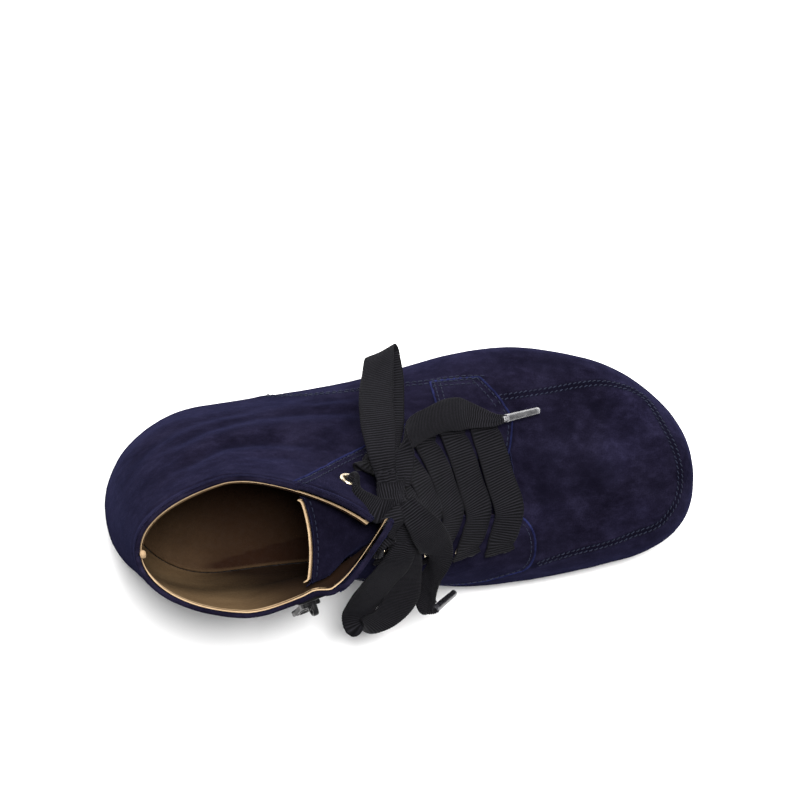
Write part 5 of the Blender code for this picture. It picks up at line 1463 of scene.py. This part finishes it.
def eyelets():
    prof = [(1.85, -1.95), (1.72, -1.2), (1.70, -0.2), (1.74, 0.45), (1.92, 0.80), (2.20, 0.98), (2.50, 1.00), (2.78, 0.88), (2.97, 0.66), (3.02, 0.50), (2.95, 0.42), (2.60, 0.36), (2.25, 0.30), (2.20, -1.95)]
    for (side, k), (p, n) in EYES.items():
        seg = 48
        x = unit(np.cross(n, [0.2, 0.9, 0.3]))
        y = np.cross(n, x)
        th = np.linspace(0, 2 * pi, seg, endpoint=False)
        h, _ = relief(side, np.array([EYE_AT[(side, k)][0]]), np.array([EYE_AT[(side, k)][1]]), p[None])
        lift = float(h[0]) - 0.42 + 0.05
        b = Build()
        ring = [p + n * (z + max(lift, 0) * (z > 0)) + (x * np.cos(th)[:, None] + y * np.sin(th)[:, None]) * r for r, z in prof]
        idx = b.add(np.array(ring + [ring[0]]))
        b.grid(idx, ring=True, flip=True)
        name = "eyelet_%s_%d" % (("lateral", "medial")[side], k + 1)
        ob = b.make(name + "_ring", BRASS, merge=0.001)
        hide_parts(name)


eyelets()


# ------------------------------------------------------------------ sole and insole
def offset_outline(s, d):
    lat, med = section(s, 0, 41)[:, 0], section(s, 1, 41)[:, 0]
    loop = np.concatenate([lat[:, :2], med[::-1][1:-1, :2]])
    nxt, prv = np.roll(loop, -1, 0), np.roll(loop, 1, 0)
    tan = unit(unit(nxt - loop) + unit(loop - prv))
    nrm = np.stack([tan[:, 1], -tan[:, 0]], 1)
    if nrm[len(s) // 2, 1] < 0:
        nrm = -nrm
    out = loop + nrm * d
    return out[:len(s)], np.concatenate([out[:1], out[len(s):][::-1], out[len(s) - 1:len(s)]])


def outsole():
    n = 300
    s = np.linspace(0, 1, n)
    s = 0.5 * (s + (1 - np.cos(pi * s)) / 2 * 0.0 + s)
    heel = lambda x: 1.1 * np.clip((7 - x) / 5, 0, 1)
    top_z = lambda x: feather_z(x) - 1.5 * GAP - heel(x)
    prof = [(-3.6, 0.0, -0.25), (-2.0, 0.0, -0.10), (-1.35, 0.0, 0.02), (-0.95, 0.0, -0.12), (-0.74, 0.02, -0.40), (-0.62, 0.06, -0.90), (-0.74, 0.10, -1.25),
            (-0.80, 0.16, -1.35), (-0.62, 0.24, -1.2), (-0.52, 0.40, -0.8), (-0.56, 0.60, -0.4), (-0.72, 0.80, -0.1), (-1.0, 0.90, 0.2), (-1.4, 0.96, 0.15), (-1.9, 0.99, 0.02), (-2.6, 1.0, 0.0)]
    lat, med = [], []
    for d, f, dz in prof:
        a, c = offset_outline(s, d)
        a[:, 1] -= 1.3 * smoothstep(a[:, 0], 14, 30) * (1 - smoothstep(a[:, 0], 78, 98))      # the shank is cut in under the arch
        for store, o in ((lat, a), (med, c)):
            x = np.clip(o[:, 0], 0, 181)
            tz = top_z(x)
            bz = tread_z(x)
            z = tz * (1 - f) + bz * f + dz * np.clip((tz - bz) / 6, 0.4, 1) * (1 if f < 0.95 else 1)
            store.append(np.column_stack([o, np.maximum(z, bz)]))
    across = 46
    t = np.linspace(0, 1, across + 2)[1:-1]
    bottom = lat[-1][:, None] * (1 - t[None, :, None]) + med[-1][:, None] * t[None, :, None]
    x, y = bottom[..., 0], bottom[..., 1]
    z = tread_z(x)
    groove = np.zeros_like(x)
    for gx, half, deep in [(g, 27.0, 1.6) for g in (98, 105, 112, 119, 126, 133)] + [(g, 18.0, 1.8) for g in (16, 25, 34)]:
        wavy = gx + 0.0 * y
        groove = np.maximum(groove, deep * (1 - smoothstep(abs(x - wavy), 0.75, 1.3)) * (1 - smoothstep(abs(y), half - 1.0, half + 0.4)))
    # fine rows of tread in the arch and the toe, stopping short of the edge
    fine = 0.28 * (0.5 + 0.5 * np.cos(2 * pi * x / 3.4)) * ((x > 142) | ((x > 52) & (x < 84)))
    z = z + groove + fine * (1 - smoothstep(abs(t - 0.5), 0.36, 0.46))[None]
    bottom[..., 2] = z
    rows = np.concatenate([np.stack(lat, 1), bottom, np.stack(med, 1)[:, ::-1]], 1)
    rows[..., 2] += 0.0
    b = Build()
    m = rows.shape[1]
    wear_and_shade = np.zeros((n, m))
    wear_and_shade[:, len(prof) - 5:len(prof)] = 0.25
    wear_and_shade[:, m - len(prof):m - len(prof) + 5] = 0.25
    idx = b.add(rows, np.clip(wear_and_shade, 0, 0.93))
    b.grid(idx, ring=True, flip=True)
    b.fan(idx[0], flip=False)
    b.fan(idx[-1], flip=True)
    ob = b.make("outsole_rubber", RUBBER, merge=0.002)
    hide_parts("outsole")


outsole()


def insole():
    n = 150
    s = np.linspace(0, 1, n)
    lat, med = [], []
    for d, up in ((-3.2, 0.05), (-2.75, 0.35), (-2.62, 0.8), (-2.50, INSOLE_T - 0.7), (-2.55, INSOLE_T - 0.25), (-2.95, INSOLE_T - 0.02)):
        a, c = offset_outline(s, d)
        lat.append(np.column_stack([a, feather_z(np.clip(a[:, 0], 0, 181)) + up]))
        med.append(np.column_stack([c, feather_z(np.clip(c[:, 0], 0, 181)) + up]))
    across = 44
    t = np.linspace(0, 1, across + 2)[1:-1]
    top = lat[-1][:, None] * (1 - t[None, :, None]) + med[-1][:, None] * t[None, :, None]
    crown = 0.55 * (1 - (2 * t - 1) ** 4)[None] * np.clip(abs(lat[-1][:, 1] - med[-1][:, 1]) / 20, 0, 1)[:, None]
    dip = 1.0 * np.exp(-((top[..., 0] - 26) / 17) ** 2 - ((top[..., 1]) / 15) ** 2)
    top[..., 2] += crown - dip * 0.8 + 0.12 * noise3(top, 9.0, 71) + 0.4 * np.exp(-((top[..., 0] - 78) / 16) ** 2 - ((top[..., 1] + 14) / 9) ** 2)
    bot = lat[0][:, None] * (1 - t[None, :, None]) + med[0][:, None] * t[None, :, None]
    rows = np.concatenate([np.stack(lat, 1), top, np.stack(med, 1)[:, ::-1], bot[:, ::-1]], 1)
    b = Build()
    wear_and_shade = np.zeros(rows.shape[:2])
    # painted shade on the insole: darker towards the toe and along the inner side's edge past a line where the wall's
    # shadow falls; also a darker patch at the heel
    wear_and_shade[:, len(lat):len(lat) + across] = 0.30 * np.exp(-((top[..., 0] - 24) / 16) ** 2 - (top[..., 1] / 13) ** 2) + 0.80 * smoothstep(top[..., 0] - 0.25 * top[..., 1], 10, 48) + 0.5 * smoothstep(
        np.interp(top[..., 0], [22, 29, 36, 43, 50, 59], [-22.5, -21.5, -20.3, -18.8, -17.6, -16.3]) - top[..., 1], 0.0, 0.8) * smoothstep(top[..., 0], 24, 34)
    idx = b.add(rows, wear_and_shade)
    b.grid(idx, ring=True, flip=True)
    b.fan(idx[0], flip=False)
    b.fan(idx[-1], flip=True)
    ob = b.make("insole_sock", INSOLE, merge=0.002)
    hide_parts("insole")


insole()


# ------------------------------------------------------------------ tongue
def tongue():
    depth, wide = curve(TONGUE, 1, 2), curve(TONGUE, 1, 3)
    n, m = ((110, 27))
    s = np.concatenate([np.linspace(0.375, 1.0, n // 2), np.linspace(1.0, 1.97, n - n // 2 + 1)[1:]])
    clear = WALL + 2 * GAP + TONGUE_T / 2 + 0.1
    rows = []
    for si in s:
        top = np.array([float(ridge_x(si)), 0.0, float(ridge_z(si))])
        x0, z0 = [float(v) for v in low_line(si)]
        d = unit(np.array([x0 - top[0], 0, z0 - top[2]]))
        cy = float(lean(top[2])) + float(swing(top[0]))
        e = float(depth(si))
        halves = []
        for side, sign in ((1, -1), (0, 1)):
            sec = section(np.array([si]), side, 161)[0][::-1]
            y, dep = sign * (sec[:, 1] - cy), (sec - top) @ d
            tan = np.gradient(np.stack([y, dep], 1), axis=0)
            tan /= np.linalg.norm(tan, axis=1)[:, None] + 1e-9
            yo, do = y - tan[:, 1] * clear, dep + tan[:, 0] * clear
            last = int(np.argmax(yo))
            keep = np.maximum.accumulate(yo[:last + 1])
            half = min(float(wide(si)), 0.925 * keep[-1])
            lim = float(np.interp(si, [0.6, 0.9, 1.3, 1.7, 1.97], [30, 12, 7.0, 4.8, 2.7 if side else 2.4]))
            fine = np.linspace(0, half, 80)
            low = np.interp(fine, keep, do[:last + 1]) < e + lim
            half = fine[low][-1] if low.any() else half
            yy = np.linspace(0, half, m)
            wall = np.interp(yy, keep, do[:last + 1])
            flat = e + 0.010 * yy ** 2
            dy = 0.5 * (wall + flat + np.sqrt((wall - flat) ** 2 + 1.5))
            halves.append([top + np.array([0, cy + sign * v, 0]) + d * q for v, q in zip(yy, dy)])
        mid = max((h[0] - top) @ d for h in halves)
        centre = top + np.array([0, cy, 0]) + d * mid
        row = np.array(halves[0][:0:-1] + [centre] + halves[1][1:])
        k = len(row) // 2                     # ease the middle, where the two halves meet
        for _ in range(6):
            row[k - 3:k + 4] = 0.5 * row[k - 3:k + 4] + 0.25 * (row[k - 4:k + 3] + row[k - 2:k + 5])
        rows.append(row)
    p = np.array(rows)
    for _ in range(2):
        p[1:-1] = 0.5 * p[1:-1] + 0.25 * (p[:-2] + p[2:])
    nrm = outwards(unit(np.cross(np.gradient(p, axis=0), np.gradient(p, axis=1))), p)
    away = p - np.array([45.0, -3.0, 30.0])
    nrm = np.where((nrm * away).sum(-1, keepdims=True) > 0, nrm, -nrm)
    soft = 0.16 * noise3(p, 12.0, 81) + 0.05 * noise3(p, 4.0, 82)
    h = TONGUE_T / 2 - 0.02
    fr = (s - s[0]) / (s[-1] - s[0])
    run = run_of(p[:, p.shape[1] // 2])
    left = run[-1] - run
    seam = (0.30 * np.exp(-((left - 2.3) / 0.5) ** 2))[:, None]
    outer = p + nrm * (h + soft * 0.6 - seam)[..., None]
    inner = p - nrm * (h + soft * 0.3)[..., None]
    b = Build()
    # the tongue's suede is painted darker all over as the shade in the throat, and darker still along its stitch line
    # as shade in the groove
    tone = 0.42 + 0.0 * soft + 0.3 * np.exp(-((left - 2.3) / 0.7) ** 2)[:, None]
    o = b.add(outer, tone)
    b.grid(o, flip=True)
    kk = p.shape[1]
    rim = [(r_, 0) for r_ in range(len(s))] + [(len(s) - 1, j_) for j_ in range(1, kk)] + [(r_, kk - 1) for r_ in range(len(s) - 2, -1, -1)]
    T0, M0 = np.array([outer[r_, j_] for r_, j_ in rim]), np.array([nrm[r_, j_] for r_, j_ in rim])
    I0 = np.array([outer[min(r_, len(s) - 3), min(max(j_, 2), kk - 3)] for r_, j_ in rim])
    w0 = unit(np.gradient(T0, axis=0))
    o0 = T0 - I0
    for _ in range(3):
        o0 = o0 - (o0 * w0).sum(1)[:, None] * w0
        o0 = o0 - (o0 * M0).sum(1)[:, None] * M0
        o0 = unit(o0)
        o0[1:-1] = unit(o0[:-2] + 2 * o0[1:-1] + o0[2:])
    strip = [np.array([o[r_, j_] for r_, j_ in rim])] + [b.add(T0 + M0 * dn + o0 * dt, 0.1) for dn, dt in ((-0.06, 0.10), (-0.18, 0.14), (-0.30, 0.10), (-0.40, -0.02), (-0.44, -0.4))]
    b.grid(np.stack(strip), flip=False)
    ob = b.make("tongue_suede", SUEDE)
    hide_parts("tongue")
    c = Build()
    i = c.add(inner, 0.15)
    c.grid(i)
    # tan edge round the sides and top, a rolled strip standing just past the suede
    k = p.shape[1]
    loop = [(r, 0) for r in range(len(s))] + [(len(s) - 1, j) for j in range(1, k)] + [(r, k - 1) for r in range(len(s) - 2, -1, -1)]
    P0 = np.array([p[r, j] for r, j in loop])
    N0 = np.array([nrm[r, j] for r, j in loop])
    In = np.array([p[min(r, len(s) - 3), min(max(j, 2), k - 3)] for r, j in loop])
    tan = unit(np.gradient(P0, axis=0))
    out = P0 - In
    for _ in range(3):
        out = out - (out * tan).sum(1)[:, None] * tan
        out = out - (out * N0).sum(1)[:, None] * N0
        out = unit(out)
        out[1:-1] = unit(out[:-2] + 2 * out[1:-1] + out[2:])
    rows = []
    for dn, dt in ((-0.90, -0.7), (-0.89, -0.25), (-0.83, -0.02), (-0.74, 0.07), (-0.64, 0.08), (-0.55, 0.02), (-0.49, -0.10), (-0.47, -0.3), (-0.5, -0.6)):
        rows.append(c.add(P0 + N0 * dn + out * dt, 0.0))
    c.grid(np.stack(rows), flip=True, mat=1)
    edge = c.make("tongue_lining", [LINING, LINING_LIT_EDGE])
    t = Build()
    r = int(np.argmin(abs(left - 2.3)))
    line = through(outer[r, 2:-2], 0.9)
    nn = np.stack([np.interp(np.linspace(0, 1, len(line)), np.linspace(0, 1, k - 4), nrm[r, 2:-2, c_]) for c_ in range(3)], -1)
    rr = run_of(line)
    for q in range(int(rr[-1] / 1.9)):
        at = (q + 0.5) * 1.9 + np.linspace(-1, 1, 7) * 0.7
        cc = np.stack([np.interp(at, rr, line[:, v]) for v in range(3)], -1)
        n2 = unit(np.stack([np.interp(at, rr, nn[:, v]) for v in range(3)], -1))
        tt = np.linspace(-1, 1, 7)
        cc = cc + n2 * (0.18 - 0.3 * abs(tt[:, None]) ** 4)
        tube(t, cc, n2, 0.17, 0.15, sides=6, tone=0.5)
    t.make("tongue_stitches", THREAD)


tongue()


# ------------------------------------------------------------------ zip
def zipper():
    across, up = ZIP["across"], ZIP["up"]
    pts = zip_line(60, 98.2, ZIP_BOTTOM[1] + 0.3)
    p, n = np.array([a for a, _ in pts]), np.array([c for _, c in pts])
    run = run_of(p)
    b = Build()
    cols = 15
    u = np.linspace(-1, 1, cols)
    half = ZIP_SLIT_W / 2 + 0.35
    weave = 0.04 * np.cos(2 * pi * run / 0.9)[:, None]
    top = p[:, None] + across * (u * half)[None, :, None] + n[:, None] * (-0.84 + weave * (1 - abs(u)[None]) - 0.10 * (abs(u)[None] > 0.85))[..., None]
    bot = p[:, None] + across * (u * half)[None, :, None] + n[:, None] * (-1.10 + 0 * weave)[..., None]
    idx = b.add(np.concatenate([top, bot[:, ::-1]], 1))
    b.grid(idx, ring=True, flip=True)
    b.fan(idx[0])
    b.fan(idx[-1], flip=True)
    tape = b.make("zip_tape_cloth", TAPE)
    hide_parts("zip_tape")
    # coil: two rows of loops that hook into each other
    c = Build()
    line = zip_line(140, 92.0, ZIP_BOTTOM[1] + 2.0)
    q, m = np.array([a for a, _ in line]), np.array([v for _, v in line])
    r = run_of(q)
    pitch = 1.15
    for sgn in (-1, 1):
        for i in range(int(r[-1] / pitch)):
            at = (i + (0.25 if sgn > 0 else 0.75)) * pitch
            if at > r[-1]:
                continue
            o = np.array([np.interp(at, r, q[:, v]) for v in range(3)])
            nn = unit(np.array([np.interp(at, r, m[:, v]) for v in range(3)]))
            tt = unit(np.array([np.interp(min(at + 1, r[-1]), r, q[:, v]) for v in range(3)]) - o)
            # a tooth: flat bar from the tape to past the middle, with a swollen head
            k = np.linspace(0, 1, 9)
            x = sgn * (2.05 - 2.45 * k)
            ln = o + across * x[:, None] + nn * (0.02 + 0.42 * np.sin(pi * np.clip(k * 0.9, 0, 1)))[:, None]
            tube(c, ln, nn, 0.40 * (1 - 0.25 * k + 0.25 * np.exp(-((k - 0.85) / 0.12) ** 2)), 0.36 + 0.10 * np.exp(-((k - 0.85) / 0.14) ** 2), sides=8, flat=0.7)
        # cord that the teeth are held by
        e = q + across * (sgn * 2.02) + m * (-0.35)
        tube(c, e[::3], m[::3], 0.36, 0.42, sides=8)
    chain = c.make("zip_teeth", NYLON)
    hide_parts("zip_chain")
    # edges of the slit: the folded suede on each side with a row of stitches
    e = Build()
    st = Build()
    ln = zip_line(80, 98.3, ZIP_BOTTOM[1] - 0.6)
    q, m = np.array([a for a, _ in ln]), np.array([v for _, v in ln])
    path = []
    for sgn in (-1, 1):
        side_line = q + across * (sgn * (ZIP_SLIT_W / 2 + 0.1))
        path.append(side_line)
    foot_c = q[-1]
    th = np.linspace(0, pi, 13)[1:-1]
    foot = np.array([foot_c + across * (-(ZIP_SLIT_W / 2 + 0.1) * cos(t)) - up * (ZIP_SLIT_W / 2 * 0.55 * sin(t)) for t in th])
    outline = np.concatenate([path[0], foot, path[1][::-1]])
    w = on_upper(through(outline, 0.8), 1)
    base = lifted(w, 0.0)
    tan = unit(np.gradient(base, axis=0))
    tube(e, base - w[4] * 0.30, w[4], 0.62, 0.62, sides=10, tone=0.1)
    e.make("zip_edges", SUEDE_EDGE)
    for off in (2.0,):
        out2 = np.concatenate([q + across * (-(ZIP_SLIT_W / 2 + off)), np.array([foot_c + across * (-(ZIP_SLIT_W / 2 + off) * cos(t)) - up * ((ZIP_SLIT_W / 2 * 0.55 + off) * sin(t)) for t in th]),
                               (q + across * (ZIP_SLIT_W / 2 + off))[::-1]])
        stitch_row(st, on_upper(through(out2, 0.9), 1), pitch=1.75, length=1.3, r=0.17)
    st.make("zip_stitches", THREAD)


zipper()


def metal_plate(b, put, outline, z0, z1, bevel, holes=None, dome=0.0):
    """a plate with rounded edges: put(u, v, z) gives its points, outline goes round once"""
    o = np.asarray(outline, float)
    mid = o.mean(0)
    tan = unit(np.roll(o, -1, 0) - np.roll(o, 1, 0))
    out = np.stack([tan[:, 1], -tan[:, 0]], 1)
    if ((o - mid) * out).sum() < 0:
        out = -out
    arc = [(bevel * (1 - sin(t)), bevel * (1 - cos(t))) for t in np.linspace(0, pi / 2, 5)]
    lower = [(d, z0 + z) for d, z in arc]
    upper = [(d, z1 - z) for d, z in reversed(arc)]
    rings = [put(*(o - out * d).T, np.full(len(o), z)) for d, z in lower[:1] + lower[1:] + upper]
    if holes is not None:
        w = np.asarray(holes, float)
        rings = rings + [put(*w.T, np.full(len(w), z1 - 0.06)), put(*w.T, np.full(len(w), z1 - 0.2)), put(*w.T, np.full(len(w), z0 + 0.2)), put(*w.T, np.full(len(w), z0 + 0.06))]
        idx = b.add(np.array(rings + [rings[0]]), 0.0)
        b.grid(idx, ring=True)
    else:
        in1 = put(*(mid + (o - mid) * 0.55).T, np.full(len(o), z1 + dome))
        in0 = put(*(mid + (o - mid) * 0.55).T, np.full(len(o), z0))
        idx = b.add(np.array([in0] + rings + [in1]), 0.0)
        b.grid(idx, ring=True)
        b.fan(idx[0], flip=True)
        b.fan(idx[-1], flip=False)


def round_outline(corners, radius, per=7):
    """closed outline with rounded corners, evenly dense at its corners"""
    c = np.asarray(corners, float)
    n = len(c)
    rad = np.broadcast_to(radius, n)
    out = []
    for i in range(n):
        a, p, q = c[i - 1], c[i], c[(i + 1) % n]
        u, v = unit(a - p), unit(q - p)
        half = np.arccos(np.clip(u @ v, -1, 1)) / 2
        d = min(rad[i] / np.tan(half), 0.48 * np.linalg.norm(a - p), 0.48 * np.linalg.norm(q - p))
        r = d * np.tan(half)
        centre = p + unit(u + v) * (r / np.sin(half))
        s_, e_ = p + u * d - centre, p + v * d - centre
        t0, t1 = np.arctan2(s_[1], s_[0]), np.arctan2(e_[1], e_[0])
        dt = (t1 - t0 + pi) % (2 * pi) - pi
        for t in np.linspace(0, 1, per):
            out.append(centre + r * np.array([cos(t0 + dt * t), sin(t0 + dt * t)]))
        m = p + v * d
        nxt = q
        for f in (0.5,):
            out.append(m + (nxt - m) * f * 0.9)
    return np.array(out)


def slider_and_pull():
    up = ZIP["up"]
    p, n = zip_line(30, 96.5)[0 + 2]
    side = unit(np.cross(up, n))
    nn = unit(np.cross(side, up))

    def at(u, v, z):
        u, v, z = np.asarray(u) * 1.16, (np.asarray(v) - PIVOT_DOWN) * 1.16 + PIVOT_DOWN, (np.asarray(z) - 3.7) * 1.16 + 3.7
        return p + side * u[..., None] + up * v[..., None] + nn * z[..., None]
    b = Build()
    body = round_outline([(-3.0, 1.3), (3.0, 1.3), (4.1, 0.0), (4.1, -4.2), (3.2, -7.7), (-3.2, -7.7), (-4.1, -4.2), (-4.1, 0.0)], (0.5, 0.5, 0.8, 1.4, 0.7, 0.7, 1.4, 0.8))
    metal_plate(b, at, body, 1.25, 2.65, 0.42, dome=0.10)
    for sg in (-1, 1):      # the flanges folded down along both sides
        fl = round_outline([(sg * 3.35, -0.4), (sg * 4.05, -0.4), (sg * 4.05, -4.4), (sg * 3.35, -5.6)], 0.2, 4)
        metal_plate(b, at, fl, 0.35, 1.6, 0.14)
    nose = round_outline([(-2.3, 1.3), (2.3, 1.3), (2.0, -1.1), (-2.0, -1.1)], 0.45, 5)
    metal_plate(b, at, nose, -0.1, 1.6, 0.25)
    v = np.array([-1.42, -1.42, -1.50, -1.85, -2.45, -3.2, -3.95, -4.55, -4.90, -4.98, -4.98])
    z = np.array([2.45, 4.30, 5.50, 6.15, 6.45, 6.52, 6.45, 6.15, 5.50, 4.30, 2.45])
    arch = through(at(np.zeros(11), v, z), 0.3)
    wide = np.interp(np.linspace(0, 1, len(arch)), [0, 0.12, 0.5, 0.88, 1], [0.66, 0.48, 0.42, 0.48, 0.66])
    tube(b, arch, np.tile(side, (len(arch), 1)), wide, 0.84, sides=14, flat=0.6)
    ob = b.make("zip_slider_body", BLACK_METAL, sharp=42)
    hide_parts("zip_slider")
    # the pull hangs from its cross bar under the arch
    t = Build()

    def hang(u, v, z):
        return at(u, np.asarray(v) + PIVOT_DOWN, np.asarray(z) + 3.7 + 2.6 * smoothstep(-np.asarray(v), 2.5, 12.0))
    tab = round_outline([(-2.1, 0.55), (2.1, 0.55), (2.6, -1.0), (1.95, -5.4), (2.6, -9.6), (2.5, -14.45), (-2.5, -14.45), (-2.6, -9.6), (-1.95, -5.4), (-2.6, -1.0)],
                        (0.55, 0.55, 2.2, 6.0, 4.0, 1.7, 1.7, 4.0, 6.0, 2.2), 6)
    k = len(tab)
    ang = np.arctan2(tab[:, 1] + 2.1, tab[:, 0])
    win = round_outline([(-1.3, -0.55), (1.3, -0.55), (1.3, -3.65), (-1.3, -3.65)], 0.35, 12)
    wa = np.arctan2(win[:, 1] + 2.1, win[:, 0])
    order = np.argsort(wa)
    wx = np.interp(ang, wa[order], win[order, 0], period=2 * pi)
    wy = np.interp(ang, wa[order], win[order, 1], period=2 * pi)
    metal_plate(t, hang, tab, -0.60, 0.60, 0.20, holes=np.stack([wx, wy], 1))
    grip = round_outline([(-1.45, -7.2), (1.45, -7.2), (1.62, -13.4), (-1.62, -13.4)], (1.0, 1.0, 1.1, 1.1), 8)
    for z_, sg in ((0.60, 1), (-0.60, -1)):
        ring = hang(grip[:, 0], grip[:, 1], np.full(len(grip), z_))
        ring = np.concatenate([ring, ring[:1]])
        tube(t, ring, np.tile(nn * sg, (len(ring), 1)), 0.20, 0.14, tone=0.35, sides=8, caps=False)
        for q in range(4):
            y0 = -8.6 - 1.25 * q
            bar_ = hang(np.linspace(-1.05, 1.05, 9), np.full(9, y0), np.full(9, z_))
            tube(t, bar_, np.tile(nn * sg, (9, 1)), 0.20 * np.sqrt(np.clip(1 - np.linspace(-1, 1, 9) ** 6, 0.05, 1)), 0.13, tone=0.35, sides=8)
    ob = t.make("zip_pull_tab", BLACK_METAL, body="pull_tab", sharp=42)
    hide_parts("zip_pull")


slider_and_pull()
